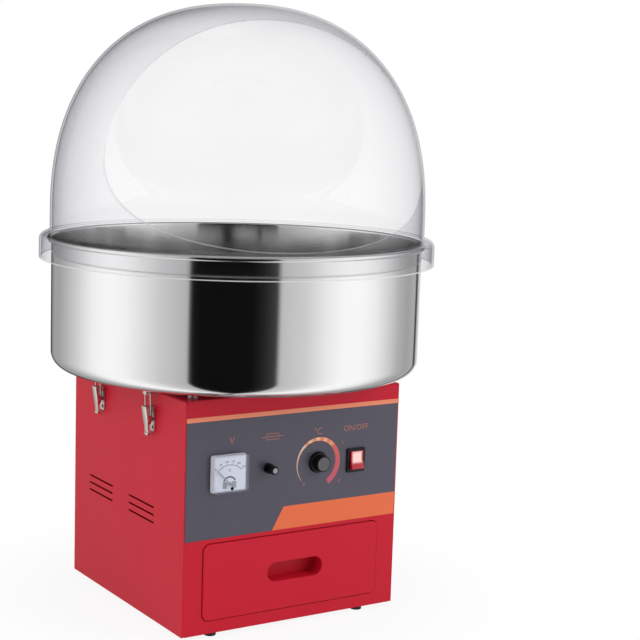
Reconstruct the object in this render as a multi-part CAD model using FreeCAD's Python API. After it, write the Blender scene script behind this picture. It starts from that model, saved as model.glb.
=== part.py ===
import FreeCAD, Part
import math
import os

# Table-top cotton candy machine.  +X is the operator's right, -Y the front, +Z up.
# The origin is on the surface that it stands on, under the axis of the bowl.  Millimetres.

# Clearances
RUNNING_GAP = 0.3          # between pieces that move against each other
PIVOT_CLEARANCE = 0.05     # a pin or wire in its hole, on the radius
PANEL_GAP = 0.2            # between sheets that are fixed side by side
EDGE_TOLERANCE = 0.01      # how closely an edge is matched to its place

# Cabinet
CABINET_WIDTH = 340.0
CABINET_DEPTH = 336.0
CABINET_HEIGHT = 317.0
SHEET = 1.5
FOLD_RADIUS = 3.0
FLANGE = 12.0
FOOT_HEIGHT = 7.0
FOOT_RADIUS = 9.0
FOOT_INSET_X = 51.0
FOOT_INSET_Y = 14.0
FOOT_SCREW_RADIUS = 2.0
SHAFT_HOLE_RADIUS = 16.0
LOUVRE_LENGTH = 75.5
LOUVRE_HEIGHT = 2.6
LOUVRE_PITCH = 10.6
LOUVRE_ROWS = 3
LOUVRE_TOP_Z = 163.5
LOUVRE_GROUP_OFFSET = 62.9
LOUVRE_GROUP_SHIFT = 16.4  # the groups sit a little behind the middle
BACK_SCREW_RADIUS = 2.0
BACK_SCREW_ROWS = 3

# Control panel
FASCIA_THICKNESS = 0.5
FASCIA_BOTTOM_Z = 136.5
FASCIA_TOP_Z = 301.5
METER_X = -106.5
METER_Z = 224.75
METER_WIDTH = 51.0
METER_HEIGHT = 49.5
METER_BASE_DEPTH = 6.0
METER_COVER_DEPTH = 8.0
METER_WALL = 1.5
METER_CORNER = 2.0
METER_HUB_RADIUS = 2.0
METER_HUB_HEIGHT = 1.0     # in front of the dial
METER_BARREL_RADIUS = 20.0
METER_BARREL_DEPTH = 24.0
METER_DIAL_THICKNESS = 0.8
METER_PIVOT_DROP = 14.0
NEEDLE_LENGTH = 27.0
NEEDLE_REST_ANGLE = 45.0
FUSE_X = -43.0
FUSE_Z = 224.0
FUSE_COLLAR_RADIUS = 7.0
FUSE_COLLAR_DEPTH = 6.0
FUSE_BARREL_RADIUS = 5.6
FUSE_BARREL_LENGTH = 38.0
FUSE_BORE_RADIUS = 3.4
FUSE_CAP_RADIUS = 6.0
FUSE_CAP_DEPTH = 12.0
FUSE_LINK_RADIUS = 2.5
FUSE_LINK_LENGTH = 20.0
KNOB_X = 37.0
KNOB_Z = 224.0
KNOB_SKIRT_RADIUS = 15.0
KNOB_SKIRT_DEPTH = 4.0
KNOB_GRIP_RADIUS = 11.0
KNOB_DEPTH = 14.5
KNOB_DRAFT = 0.8           # narrower at the face
KNOB_CAP = 3.0             # from its face to the end of the shaft
KNOB_FLUTES = 18
KNOB_FLUTE_RADIUS = 0.9
POT_SHAFT_RADIUS = 3.0
POT_BUSHING_RADIUS = 4.5
POT_BODY_RADIUS = 12.0
POT_BODY_DEPTH = 11.0
SWITCH_X = 98.75
SWITCH_Z = 221.25
SWITCH_WIDTH = 29.5
SWITCH_HEIGHT = 33.5
SWITCH_BEZEL_DEPTH = 2.4
SWITCH_BEZEL_LIP = 2.0     # how far the bezel covers the edge of its hole
SWITCH_WELL_DEPTH = 12.0   # behind the panel
SWITCH_BODY_DEPTH = 24.0
ROCKER_WIDTH = 20.0
ROCKER_HEIGHT = 25.0
ROCKER_THROW = 10.0        # degrees each side of the middle
ROCKER_PIVOT_RADIUS = 1.5
ROCKER_PIVOT_OUT = 1.5     # in front of the fascia
ROCKER_RIDGE = 3.2         # of the middle of its face in front of the pivot
ROCKER_BACK = 5.0          # of its rear behind the pivot

# Drawer
DRAWER_WIDTH = 280.0
DRAWER_BOTTOM_Z = 25.2
DRAWER_TOP_Z = 129.8
DRAWER_CORNER = 10.0
DRAWER_GAP = 1.0
DRAWER_PROUD = 1.8         # in front of the panel
DRAWER_EDGE = 1.4          # rounding of its front edges
TRAY_WIDTH = 266.0
TRAY_DEPTH = 262.0
TRAY_HEIGHT = 90.0
TRAY_SHEET = 1.2
TRAY_LIFT = 3.0
PULL_X = 4.0
PULL_Z = 78.25
PULL_WIDTH = 89.0
PULL_HEIGHT = 27.0
PULL_DEPTH = 22.0
RUNNER_LEDGE = 12.0
RUNNER_GUIDE_HEIGHT = 20.0
RUNNER_SIDE_GAP = 0.8

# Bowl
BOWL_RADIUS = 260.0
BOWL_HEIGHT = 183.1
BOWL_SHEET = 1.0
BOWL_CORNER = 20.0
BOWL_GAP = 10.5            # above the cabinet
BOWL_HOLE_RADIUS = 85.0
BOWL_COLLAR_HEIGHT = 25.0
BOWL_COLLAR_FOLD = 6.0
RIM_ROLL_RADIUS = 4.5
RIM_ROLL_END = 140.0       # degrees below level where the rolled edge ends
POST_RADIUS = 7.0
POST_INSET = 22.0

# Clear cover
COVER_SHEET = 3.0
COVER_RIM_CLEARANCE = 7.5  # between the rolled rim and the skirt
COVER_SKIRT_DROP = 31.0
COVER_SHOULDER = 9.0
COVER_WALL_HEIGHT = 27.6
COVER_FOOT_FILLET = 4.0
DOME_HEIGHT = 295.8
DOME_EXPONENT = 2.33
DOME_POINTS = 12
HATCH_TURN = -12.7         # degrees from the front, seen from above
HATCH_TILT = 33.0          # degrees above level
HATCH_HALF_WIDTH = 220.0
HATCH_HALF_HEIGHT = 160.0
HATCH_SHIFT = -3.0
HATCH_DROP = 97.0
HATCH_AXIS_Z = 657.0

# Motor
MOTOR_RADIUS = 50.0
MOTOR_BODY_HEIGHT = 98.0
MOTOR_CAP_HEIGHT = 12.0
MOTOR_HANG = 22.0          # from the cabinet's top down to the upper cap
MOTOR_BOLT_CIRCLE = 62.0
MOTOR_EAR_RADIUS = 9.0
MOTOR_STANDOFF_RADIUS = 5.0
ROTOR_RADIUS = 28.0
ROTOR_HEIGHT = 80.0
AIR_GAP = 0.4
SHAFT_RADIUS = 6.0
SHAFT_TAIL = 22.0
BEARING_RADIUS = 14.0
BEARING_WIDTH = 8.0
FAN_RADIUS = 42.0
FAN_HEIGHT = 10.0
FAN_BLADES = 7

# Brush gear
CARRIER_RADIUS = 20.0
CARRIER_HEIGHT = 26.0
CARRIER_GAP = 10.0         # above the cabinet
RING_RADIUS = 24.0
RING_WIDTH = 5.0
RING_PITCH = 9.0
RING_FIRST = 5.0
BRUSH_SIZE = 4.4
BRUSH_LENGTH = 19.0
BRUSH_TRAVEL = 3.0
BRUSH_GAP = 0.2
HOLDER_BASE_LENGTH = 62.0
HOLDER_BASE_HEIGHT = 5.0
HOLDER_BODY_LENGTH = 16.0
HOLDER_BODY_WIDTH = 24.0
HOLDER_BODY_HEIGHT = 28.0
HOLDER_BASE_CORNER = 6.0
HOLDER_BASE_TAIL = 6.0     # of the base behind the body
HOLDER_SLOT_LENGTH = 10.0
HOLDER_SLOT_WIDTH = 5.0
TERMINAL_THICKNESS = 0.8
TERMINAL_WIDTH = 6.0
TERMINAL_BLADE = 9.0

# Spinner head
HEAD_RADIUS = 72.0
HEAD_GAP = 38.0            # above the cabinet
HEAD_FLOOR = 4.0
BAND_RADIUS = 70.0
BAND_SHEET = 1.2
BAND_HEIGHT = 34.0
BAND_SLOTS = 36
BAND_SLOT_WIDTH = 3.0
BAND_SLOT_HEIGHT = 24.0
HEATER_RADIUS = 60.0
HEATER_WAVE = 3.0
HEATER_WAVES = 20
HEATER_RIBBON = 1.0
HEATER_HEIGHT = 18.0
HEATER_POST_RADIUS = 2.5
HEATER_POST_HEIGHT = 5.0
HEAD_COVER_SHEET = 1.5
HEAD_COVER_RISE = 6.0
HEAD_COVER_LAP = 4.0       # over the slotted band
HEAD_COVER_BEND = 2.5
MOUTH_RADIUS = 28.0
MOUTH_NECK = 8.0
HEAD_NUT_RADIUS = 10.0
HEAD_NUT_HEIGHT = 8.0
SHAFT_END = 4.0            # above the nut
HEAD_SCREW_RADIUS = 2.0
HEAD_SCREW_CIRCLE = 44.0
HEAD_SCREW_HEAD = 2.5

# Toggle latches, measured outward from the cabinet's side
LATCH_SPACING = 154.0
LATCH_SHEET = 1.2
LATCH_PIVOT_OUT = 8.5
LATCH_PIVOT_Z = 298.5
LATCH_PIN_RADIUS = 1.5
LATCH_EAR_RADIUS = 3.5
LATCH_BASE_WIDTH = 14.0
LATCH_BASE_BOTTOM_Z = 268.0
LATCH_EAR_SPREAD = 8.6
LEVER_WIDTH = 12.4
LEVER_TOP_OUT = 14.2
LEVER_TOP_Z = 302.4
LEVER_TIP_OUT = 8.8
LEVER_TIP_Z = 264.5
LEVER_TIP_RADIUS = 2.4
LEVER_TONGUE_WIDTH = 9.6   # of the finger tongue below the cheeks
LEVER_NECK_Z = 277.0       # where the cheeks have run out into the tongue
LEVER_NECK_RISE = 6.0
LEVER_CORNER = 3.6
BAIL_WIRE_RADIUS = 1.1
BAIL_PIVOT_IN = 1.5        # closer to the cabinet than the lever's pivot
BAIL_PIVOT_DROP = 7.5
BAIL_TOP_OUT = 8.0
BAIL_TOP_Z = 321.5
BAIL_SIDE_GAP = 0.4
BAIL_BEND = 3.0
KEEPER_SHEET = 1.5
KEEPER_WIDTH = 9.0
KEEPER_SWING = 2.6         # room for the bail to swing outward in the hook
KEEPER_LIP = 7.0
KEEPER_FOOT = 16.0
RIVET_RADIUS = 1.6
RIVET_HEAD_RADIUS = 2.7
RIVET_HEAD_HEIGHT = 1.1

# Mains inlet and control board
GLAND_X = -120.0
GLAND_Z = 42.0
GLAND_THREAD_RADIUS = 8.0
GLAND_FLANGE_RADIUS = 12.0
GLAND_BORE_RADIUS = 4.2
GLAND_FLANGE = 5.0
GLAND_OUTSIDE = 16.0
GLAND_NUT = 5.0
GLAND_INSIDE = 9.0
BOARD_LENGTH = 100.0
BOARD_HEIGHT = 80.0
BOARD_THICKNESS = 1.6
BOARD_STANDOFF = 10.0
BOARD_CENTRE_Z = 215.0
BOARD_POST_INSET = 5.0     # from the board's edges
BOARD_POST_RADIUS = 3.5
BOARD_NECK_RADIUS = 1.6
BOARD_SNAP_RADIUS = 2.6
BOARD_SNAP_HEIGHT = 2.0
SINK_EDGE = 8.0            # from the board's front end
SINK_LENGTH = 26.0
SINK_HEIGHT = 40.0
SINK_DEPTH = 22.0
SINK_BASE = 5.0
SINK_GROOVES = 4
SINK_GROOVE_WIDTH = 3.0
SINK_GROOVE_PITCH = 6.0
CHOKE_RADIUS = 11.0
CHOKE_DEPTH = 12.0
CHOKE_EDGE = 24.0          # from the board's rear end
CHOKE_RISE = 14.0          # above the board's middle
CAPACITOR_EDGE = 12.0      # from the board's rear end
CAPACITOR_LENGTH = 28.0
CAPACITOR_HEIGHT = 14.0
CAPACITOR_DEPTH = 16.0
CAPACITOR_LIFT = 14.0      # of its lower side above the board's lower edge

# Places that follow from the sizes above
HALF_WIDTH = CABINET_WIDTH / 2
HALF_DEPTH = CABINET_DEPTH / 2
CABINET_TOP = FOOT_HEIGHT + CABINET_HEIGHT
PANEL_HALF_WIDTH = HALF_WIDTH - SHEET - PANEL_GAP
PANEL_TOP = CABINET_TOP - SHEET - PANEL_GAP
ABOVE_BASE = FOOT_HEIGHT + SHEET + FLANGE + PANEL_GAP
FRONT = -HALF_DEPTH
FASCIA_FRONT = FRONT - FASCIA_THICKNESS
PANEL_BACK = FRONT + SHEET
ROCKER_PIVOT_Y = FASCIA_FRONT - ROCKER_PIVOT_OUT
BOWL_BOTTOM = CABINET_TOP + BOWL_GAP
RIM_TOP = BOWL_BOTTOM + BOWL_HEIGHT
LEDGE_UNDER = RIM_TOP + RUNNING_GAP
RIM_ROLL_CENTRE = BOWL_RADIUS - BOWL_SHEET + RIM_ROLL_RADIUS
COVER_WALL_RADIUS = RIM_ROLL_CENTRE
COVER_SKIRT_RADIUS = RIM_ROLL_CENTRE + RIM_ROLL_RADIUS + COVER_RIM_CLEARANCE + COVER_SHEET
DOME_BASE = LEDGE_UNDER + COVER_WALL_HEIGHT
MOTOR_TOP = CABINET_TOP - SHEET - MOTOR_HANG
STATOR_TOP = MOTOR_TOP - MOTOR_CAP_HEIGHT
STATOR_BOTTOM = STATOR_TOP - MOTOR_BODY_HEIGHT
MOTOR_BOTTOM = STATOR_BOTTOM - MOTOR_CAP_HEIGHT
CARRIER_BOTTOM = CABINET_TOP + CARRIER_GAP
HEAD_BOTTOM = CABINET_TOP + HEAD_GAP
HEAD_TOP = HEAD_BOTTOM + HEAD_FLOOR
BAND_TOP = HEAD_TOP + BAND_HEIGHT
SHAFT_TOP = HEAD_TOP + HEAD_NUT_HEIGHT + SHAFT_END
BAIL_PIVOT_OUT = LATCH_PIVOT_OUT - BAIL_PIVOT_IN
BAIL_PIVOT_Z = LATCH_PIVOT_Z - BAIL_PIVOT_DROP
RING_HEIGHTS = [CARRIER_BOTTOM + RING_FIRST + RING_PITCH * row for row in range(2)]

VEC = FreeCAD.Vector


# Shape helpers

def box(x0, x1, y0, y1, z0, z1):
    """A block between two corners."""
    return Part.makeBox(x1 - x0, y1 - y0, z1 - z0, VEC(x0, y0, z0))


def rod(radius, start, end):
    """A round bar from one point to another."""
    run = VEC(*end) - VEC(*start)
    return Part.makeCylinder(radius, run.Length, VEC(*start), run)


def tube(outer, inner, start, end):
    """A round bar with a bore right through."""
    return rod(outer, start, end).cut(rod(inner, start, end))


def join(shapes):
    """One solid from shapes that touch."""
    first, rest = shapes[0], shapes[1:]
    if not rest:
        return first
    return first.fuse(rest).removeSplitter()


def group(shapes):
    """Separate solids kept together in one node."""
    return Part.makeCompound(shapes)


def around(shape, count, axis=VEC(0, 0, 1), centre=VEC(0, 0, 0)):
    """Copies of a shape, evenly spaced about an axis."""
    copies = []
    for index in range(count):
        copy = shape.copy()
        copy.rotate(centre, axis, 360.0 * index / count)
        copies.append(copy)
    return copies


def heading(start, end):
    """Unit direction of a run in a flat section."""
    run = (end[0] - start[0], end[1] - start[1])
    length = math.hypot(*run)
    return run[0] / length, run[1] / length


def moved_left(points, distance):
    """A path moved sideways to the left of its travel, with mitred corners."""
    moved = []
    for index, point in enumerate(points):
        runs = [heading(*points[at - 1:at + 1]) for at in (index, index + 1) if 0 < at < len(points)]
        normals = [(-run[1], run[0]) for run in runs]
        total = (sum(n[0] for n in normals), sum(n[1] for n in normals))
        length = math.hypot(*total)
        miter = (total[0] / length, total[1] / length)
        reach = distance / (miter[0] * normals[0][0] + miter[1] * normals[0][1])
        moved.append((point[0] + miter[0] * reach, point[1] + miter[1] * reach))
    return moved


def bend(before, corner, after, radius):
    """Start, middle and end of the arc that rounds a corner."""
    come, leave = heading(before, corner), heading(corner, after)
    cosine = max(-1.0, min(1.0, come[0] * leave[0] + come[1] * leave[1]))
    half = math.acos(cosine) / 2
    setback = radius * math.tan(half)
    inward = (leave[0] - come[0], leave[1] - come[1])
    length = math.hypot(*inward)
    lift = (radius / math.cos(half) - radius) / length
    start = (corner[0] - come[0] * setback, corner[1] - come[1] * setback)
    middle = (corner[0] + inward[0] * lift, corner[1] + inward[1] * lift)
    end = (corner[0] + leave[0] * setback, corner[1] + leave[1] * setback)
    return start, middle, end


def rounded_edges(points, radii, place):
    """Edges along an open path whose inner corners have the given radii."""
    edges = []
    at = points[0]
    for index in range(1, len(points) - 1):
        radius = radii[index - 1]
        if radius <= 0:
            edges.append(Part.makeLine(place(*at), place(*points[index])))
            at = points[index]
            continue
        start, middle, end = bend(points[index - 1], points[index], points[index + 1], radius)
        if math.dist(at, start) > 1e-6:
            edges.append(Part.makeLine(place(*at), place(*start)))
        edges.append(Part.Arc(place(*start), place(*middle), place(*end)).toShape())
        at = end
    if math.dist(at, points[-1]) > 1e-6:
        edges.append(Part.makeLine(place(*at), place(*points[-1])))
    return edges


def sheet_face(points, radii, thickness, place):
    """Section of a bent sheet: the path is its outer skin, and it thickens to the left."""
    inner_radii = []
    for index, radius in enumerate(radii):
        come = heading(points[index], points[index + 1])
        leave = heading(points[index + 1], points[index + 2])
        left_turn = come[0] * leave[1] - come[1] * leave[0] > 0
        inner_radii.append(max(0.0, radius - thickness if left_turn else radius + thickness))
    inner = moved_left(points, thickness)
    edges = rounded_edges(points, radii, place)
    edges += rounded_edges(inner, inner_radii, place)
    edges.append(Part.makeLine(place(*points[0]), place(*inner[0])))
    edges.append(Part.makeLine(place(*points[-1]), place(*inner[-1])))
    return Part.Face(Part.Wire(Part.__sortEdges__(edges)))


def outline_face(points, radius, place):
    """A closed outline with every corner rounded alike."""
    middle = ((points[0][0] + points[1][0]) / 2, (points[0][1] + points[1][1]) / 2)
    path = [middle] + points[1:] + [points[0], middle]
    return Part.Face(Part.Wire(rounded_edges(path, [radius] * len(points), place)))


def spun(face):
    """A section turned about the vertical axis."""
    return face.revolve(VEC(0, 0, 0), VEC(0, 0, 1), 360)


def radial(r, z):
    """A section point at radius r and height z."""
    return VEC(r, 0, z)


def front_plate(x0, x1, z0, z1, corner, y0, y1):
    """An upright rounded plate between two depths."""
    corners = [(x0, z0), (x1, z0), (x1, z1), (x0, z1)]
    face = outline_face(corners, corner, lambda x, z: VEC(x, y0, z))
    return face.extrude(VEC(0, y1 - y0, 0))


# Cabinet

def louvres():
    """The cooling slots of both sides, as cutters."""
    slots = []
    for side in (-1, 1):
        for group_y in (-LOUVRE_GROUP_OFFSET, LOUVRE_GROUP_OFFSET):
            for row in range(LOUVRE_ROWS):
                z = LOUVRE_TOP_Z - LOUVRE_PITCH * row
                y = group_y + LOUVRE_GROUP_SHIFT
                low, high = y - LOUVRE_LENGTH / 2, y + LOUVRE_LENGTH / 2
                bottom, top = z - LOUVRE_HEIGHT / 2, z + LOUVRE_HEIGHT / 2
                corners = [(low, bottom), (high, bottom), (high, top), (low, top)]
                outside = side * (HALF_WIDTH + 1)
                face = outline_face(corners, LOUVRE_HEIGHT / 2 - 0.1, lambda a, b: VEC(outside, a, b))
                slots.append(face.extrude(VEC(-side * (SHEET + 2), 0, 0)))
    return slots


def back_screw_places():
    """Where the back panel is screwed to the shell's flanges."""
    x = HALF_WIDTH - SHEET - FLANGE / 2
    low, high = FOOT_HEIGHT + 3 * FLANGE, PANEL_TOP - 3 * FLANGE
    step = (high - low) / (BACK_SCREW_ROWS - 1)
    return [(side * x, low + step * row) for side in (-1, 1) for row in range(BACK_SCREW_ROWS)]


def foot_places():
    """Centres of the four feet."""
    x, y = HALF_WIDTH - FOOT_INSET_X, HALF_DEPTH - FOOT_INSET_Y
    return [(-x, -y), (x, -y), (x, y), (-x, y)]


def post_places():
    """Centres of the posts that hold the bowl off the cabinet."""
    x, y = HALF_WIDTH - POST_INSET, HALF_DEPTH - POST_INSET
    return [(-x, -y), (x, -y), (x, y), (-x, y)]


def motor_bolt_places():
    """Centres of the motor's four standoffs."""
    reach = MOTOR_BOLT_CIRCLE / math.sqrt(2)
    return [(sx * reach, sy * reach) for sx in (-1, 1) for sy in (-1, 1)]


def make_cabinet_shell():
    """Both sides and the top, folded from one sheet, with back flanges and cooling slots."""
    path = [(-HALF_WIDTH, FOOT_HEIGHT), (-HALF_WIDTH, CABINET_TOP), (HALF_WIDTH, CABINET_TOP),
            (HALF_WIDTH, FOOT_HEIGHT)]
    section = sheet_face(path, [FOLD_RADIUS] * 2, -SHEET, lambda x, z: VEC(x, FRONT, z))
    pieces = [section.extrude(VEC(0, CABINET_DEPTH, 0))]
    flange_back = HALF_DEPTH - SHEET
    for side in (-1, 1):
        x0, x1 = sorted((side * (HALF_WIDTH - SHEET - FLANGE), side * (HALF_WIDTH - SHEET / 2)))
        pieces.append(box(x0, x1, flange_back - SHEET, flange_back, ABOVE_BASE, CABINET_TOP - SHEET - FLANGE))
    cutters = louvres()
    cutters.append(rod(SHAFT_HOLE_RADIUS, (0, 0, CABINET_TOP - 2 * SHEET), (0, 0, CABINET_TOP + SHEET)))
    for x, z in back_screw_places():
        cutters.append(rod(BACK_SCREW_RADIUS, (x, flange_back - 2 * SHEET, z), (x, HALF_DEPTH, z)))
    for x, y, z, side in latch_rivet_places():
        inside, outside = side * (HALF_WIDTH - 2 * SHEET), side * (HALF_WIDTH + SHEET)
        cutters.append(rod(RIVET_RADIUS, (inside, y, z), (outside, y, z)))
    return join(pieces).cut(cutters)


def make_base_plate():
    """The floor of the cabinet, a tray with four low flanges."""
    x, y = PANEL_HALF_WIDTH, HALF_DEPTH - SHEET - PANEL_GAP
    outer = box(-x, x, -y, y, FOOT_HEIGHT, FOOT_HEIGHT + SHEET + FLANGE)
    inner = box(-x + SHEET, x - SHEET, -y + SHEET, y - SHEET, FOOT_HEIGHT + SHEET, FOOT_HEIGHT + 2 * FLANGE)
    holes = [rod(FOOT_SCREW_RADIUS, (fx, fy, FOOT_HEIGHT - 1), (fx, fy, FOOT_HEIGHT + SHEET + 1))
             for fx, fy in foot_places()]
    return outer.cut([inner] + holes)


def make_front_panel():
    """The front sheet with returned sides and top, and holes for the controls and the drawer."""
    x = PANEL_HALF_WIDTH
    blank = front_plate(-x, x, FOOT_HEIGHT, PANEL_TOP, FOLD_RADIUS, FRONT, FRONT + FLANGE)
    inside = box(-x + SHEET, x - SHEET, PANEL_BACK, FRONT + 2 * FLANGE, FOOT_HEIGHT, PANEL_TOP - SHEET)
    below = box(-HALF_WIDTH, HALF_WIDTH, PANEL_BACK, FRONT + 2 * FLANGE, 0, ABOVE_BASE)
    half = DRAWER_WIDTH / 2 + DRAWER_GAP
    opening = front_plate(-half, half, DRAWER_BOTTOM_Z - DRAWER_GAP, DRAWER_TOP_Z + DRAWER_GAP,
                          DRAWER_CORNER + DRAWER_GAP, FRONT - 1, PANEL_BACK + 1)
    return blank.cut([inside, below, opening] + control_holes())


def control_holes():
    """Cutters for what passes through the front sheet and its printed fascia."""
    y0, y1 = FASCIA_FRONT - 1, PANEL_BACK + 1
    half_width = SWITCH_WIDTH / 2 - SWITCH_BEZEL_LIP
    half_height = SWITCH_HEIGHT / 2 - SWITCH_BEZEL_LIP
    return [
        rod(METER_BARREL_RADIUS + PANEL_GAP, (METER_X, y0, METER_Z), (METER_X, y1, METER_Z)),
        rod(FUSE_BARREL_RADIUS + PANEL_GAP, (FUSE_X, y0, FUSE_Z), (FUSE_X, y1, FUSE_Z)),
        rod(POT_BUSHING_RADIUS + PANEL_GAP, (KNOB_X, y0, KNOB_Z), (KNOB_X, y1, KNOB_Z)),
        box(SWITCH_X - half_width - PANEL_GAP, SWITCH_X + half_width + PANEL_GAP, y0, y1,
            SWITCH_Z - half_height - PANEL_GAP, SWITCH_Z + half_height + PANEL_GAP),
    ]


def make_control_fascia():
    """The thin printed sheet on the upper half of the front panel."""
    x = PANEL_HALF_WIDTH
    return box(-x, x, FASCIA_FRONT, FRONT, FASCIA_BOTTOM_Z, FASCIA_TOP_Z).cut(control_holes())


def make_back_panel():
    """The screwed-on back with the hole for the mains gland."""
    x = PANEL_HALF_WIDTH
    plate = front_plate(-x, x, FOOT_HEIGHT, PANEL_TOP, FOLD_RADIUS, HALF_DEPTH - SHEET, HALF_DEPTH)
    cutters = [rod(BACK_SCREW_RADIUS, (sx, HALF_DEPTH - 2 * SHEET, sz), (sx, HALF_DEPTH + 1, sz))
               for sx, sz in back_screw_places()]
    cutters.append(rod(GLAND_THREAD_RADIUS + PANEL_GAP, (GLAND_X, HALF_DEPTH - 2 * SHEET, GLAND_Z),
                       (GLAND_X, HALF_DEPTH + 1, GLAND_Z)))
    return plate.cut(cutters)


def back_panel_screws():
    """Pan-head screws through the back panel into the shell's flanges."""
    screws = []
    for x, z in back_screw_places():
        shank = rod(BACK_SCREW_RADIUS, (x, HALF_DEPTH - 6 * SHEET, z), (x, HALF_DEPTH, z))
        head = rod(2 * BACK_SCREW_RADIUS, (x, HALF_DEPTH, z), (x, HALF_DEPTH + BACK_SCREW_RADIUS, z))
        screws.append(join([shank, head]))
    return screws


def make_rubber_feet():
    """Four feet, slightly conical, each hollow below for its screw."""
    feet = []
    for x, y in foot_places():
        foot = Part.makeCone(FOOT_RADIUS - 1, FOOT_RADIUS, FOOT_HEIGHT, VEC(x, y, 0))
        pocket = rod(2 * FOOT_SCREW_RADIUS + PANEL_GAP, (x, y, -1), (x, y, FOOT_HEIGHT / 2))
        hole = rod(FOOT_SCREW_RADIUS, (x, y, 0), (x, y, FOOT_HEIGHT + 1))
        feet.append(foot.cut([pocket, hole]))
    return group(feet)


def foot_screws():
    """The screws that hold the feet, with their heads inside the rubber."""
    screws = []
    for x, y in foot_places():
        head_bottom = FOOT_HEIGHT / 2 - FOOT_SCREW_RADIUS
        head = rod(2 * FOOT_SCREW_RADIUS, (x, y, head_bottom), (x, y, FOOT_HEIGHT / 2))
        shank = rod(FOOT_SCREW_RADIUS, (x, y, FOOT_HEIGHT / 2), (x, y, FOOT_HEIGHT + 4 * SHEET))
        screws.append(join([head, shank]))
    return screws


# Drawer

def make_drawer_front():
    """The drawer's front, a little proud of the panel, with softened edges and a finger slot."""
    half = DRAWER_WIDTH / 2
    face = FRONT - DRAWER_PROUD
    plate = front_plate(-half, half, DRAWER_BOTTOM_Z, DRAWER_TOP_Z, DRAWER_CORNER, face, PANEL_BACK)
    rim = [edge for edge in plate.Edges if edge.BoundBox.YMax < face + EDGE_TOLERANCE]
    plate = plate.makeFillet(DRAWER_EDGE, rim)
    return plate.cut(pull_slot(0, face - 1, PANEL_BACK + 1))


def pull_slot(grow, y0, y1):
    """The finger slot's outline, grown on every side."""
    half, rise = PULL_WIDTH / 2 + grow, PULL_HEIGHT / 2 + grow
    return front_plate(PULL_X - half, PULL_X + half, PULL_Z - rise, PULL_Z + rise, rise - 0.05, y0, y1)


def make_drawer_pull_pocket():
    """The recessed cup behind the finger slot."""
    shell = pull_slot(TRAY_SHEET, PANEL_BACK, PANEL_BACK + PULL_DEPTH)
    return shell.cut(pull_slot(0, PANEL_BACK - 1, PANEL_BACK + PULL_DEPTH - TRAY_SHEET))


def make_drawer_tray():
    """The open box of the drawer, with the finger cup let into its front wall."""
    half = TRAY_WIDTH / 2
    bottom = DRAWER_BOTTOM_Z + TRAY_LIFT
    back = PANEL_BACK + TRAY_DEPTH
    outer = box(-half, half, PANEL_BACK, back, bottom, bottom + TRAY_HEIGHT)
    outer = outer.makeFillet(FOLD_RADIUS, [edge for edge in outer.Edges if runs_along_bottom(edge, bottom)])
    inner = box(-half + TRAY_SHEET, half - TRAY_SHEET, PANEL_BACK + TRAY_SHEET, back - TRAY_SHEET,
                bottom + TRAY_SHEET, bottom + 2 * TRAY_HEIGHT)
    cup = pull_slot(TRAY_SHEET + PANEL_GAP, PANEL_BACK - 1, PANEL_BACK + 2 * TRAY_SHEET)
    return outer.cut([inner, cup])


def runs_along_bottom(edge, bottom):
    """True for the two lower edges of the tray that run front to back."""
    box_of = edge.BoundBox
    return box_of.YLength > TRAY_DEPTH / 2 and abs(box_of.ZMin - bottom) < EDGE_TOLERANCE


def make_drawer_runners():
    """Angles on the base plate: a ledge under each side of the tray and a guide beside it."""
    guide = TRAY_WIDTH / 2 + RUNNER_SIDE_GAP
    floor = FOOT_HEIGHT + SHEET
    ledge = DRAWER_BOTTOM_Z + TRAY_LIFT - RUNNING_GAP
    y0, y1 = PANEL_BACK + FLANGE, HALF_DEPTH - 3 * SHEET - FLANGE
    runners = []
    for side in (-1, 1):
        def across(a, b):
            return tuple(sorted((side * a, side * b)))
        foot = box(*across(guide, guide + FLANGE), y0, y1, floor, floor + SHEET)
        web = box(*across(guide, guide + SHEET), y0, y1, floor, ledge + RUNNER_GUIDE_HEIGHT)
        shelf = box(*across(guide - RUNNER_LEDGE, guide + SHEET), y0, y1, ledge - SHEET, ledge)
        runners.append(join([foot, web, shelf]))
    return group(runners)


# Bowl and clear cover

def make_bowl():
    """The spun bowl: collar round the hole, flat floor, upright wall and rolled rim."""
    skin = BOWL_BOTTOM
    roll_centre = RIM_TOP - RIM_ROLL_RADIUS
    path = [(BOWL_HOLE_RADIUS, skin + BOWL_COLLAR_HEIGHT), (BOWL_HOLE_RADIUS, skin), (BOWL_RADIUS, skin),
            (BOWL_RADIUS, roll_centre)]
    wall = spun(sheet_face(path, [BOWL_COLLAR_FOLD, BOWL_CORNER], BOWL_SHEET, radial))

    def on_roll(radius, degrees):
        angle = math.radians(degrees)
        return VEC(RIM_ROLL_CENTRE + radius * math.cos(angle), 0, roll_centre + radius * math.sin(angle))

    start, end = 180.0, -RIM_ROLL_END
    middle = (start + end) / 2
    inside = RIM_ROLL_RADIUS - BOWL_SHEET
    edges = [Part.makeLine(on_roll(RIM_ROLL_RADIUS, angle), on_roll(inside, angle)) for angle in (start, end)]
    for radius in (RIM_ROLL_RADIUS, inside):
        arc = Part.Arc(on_roll(radius, start), on_roll(radius, middle), on_roll(radius, end))
        edges.append(arc.toShape())
    roll = spun(Part.Face(Part.Wire(Part.__sortEdges__(edges))))
    low, high = skin - 1, skin + BOWL_SHEET + 1
    holes = [rod(RIVET_RADIUS, (x, y, low), (x, y, high)) for x, y in keeper_rivet_places()]
    return join([wall, roll]).cut(holes)


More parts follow.
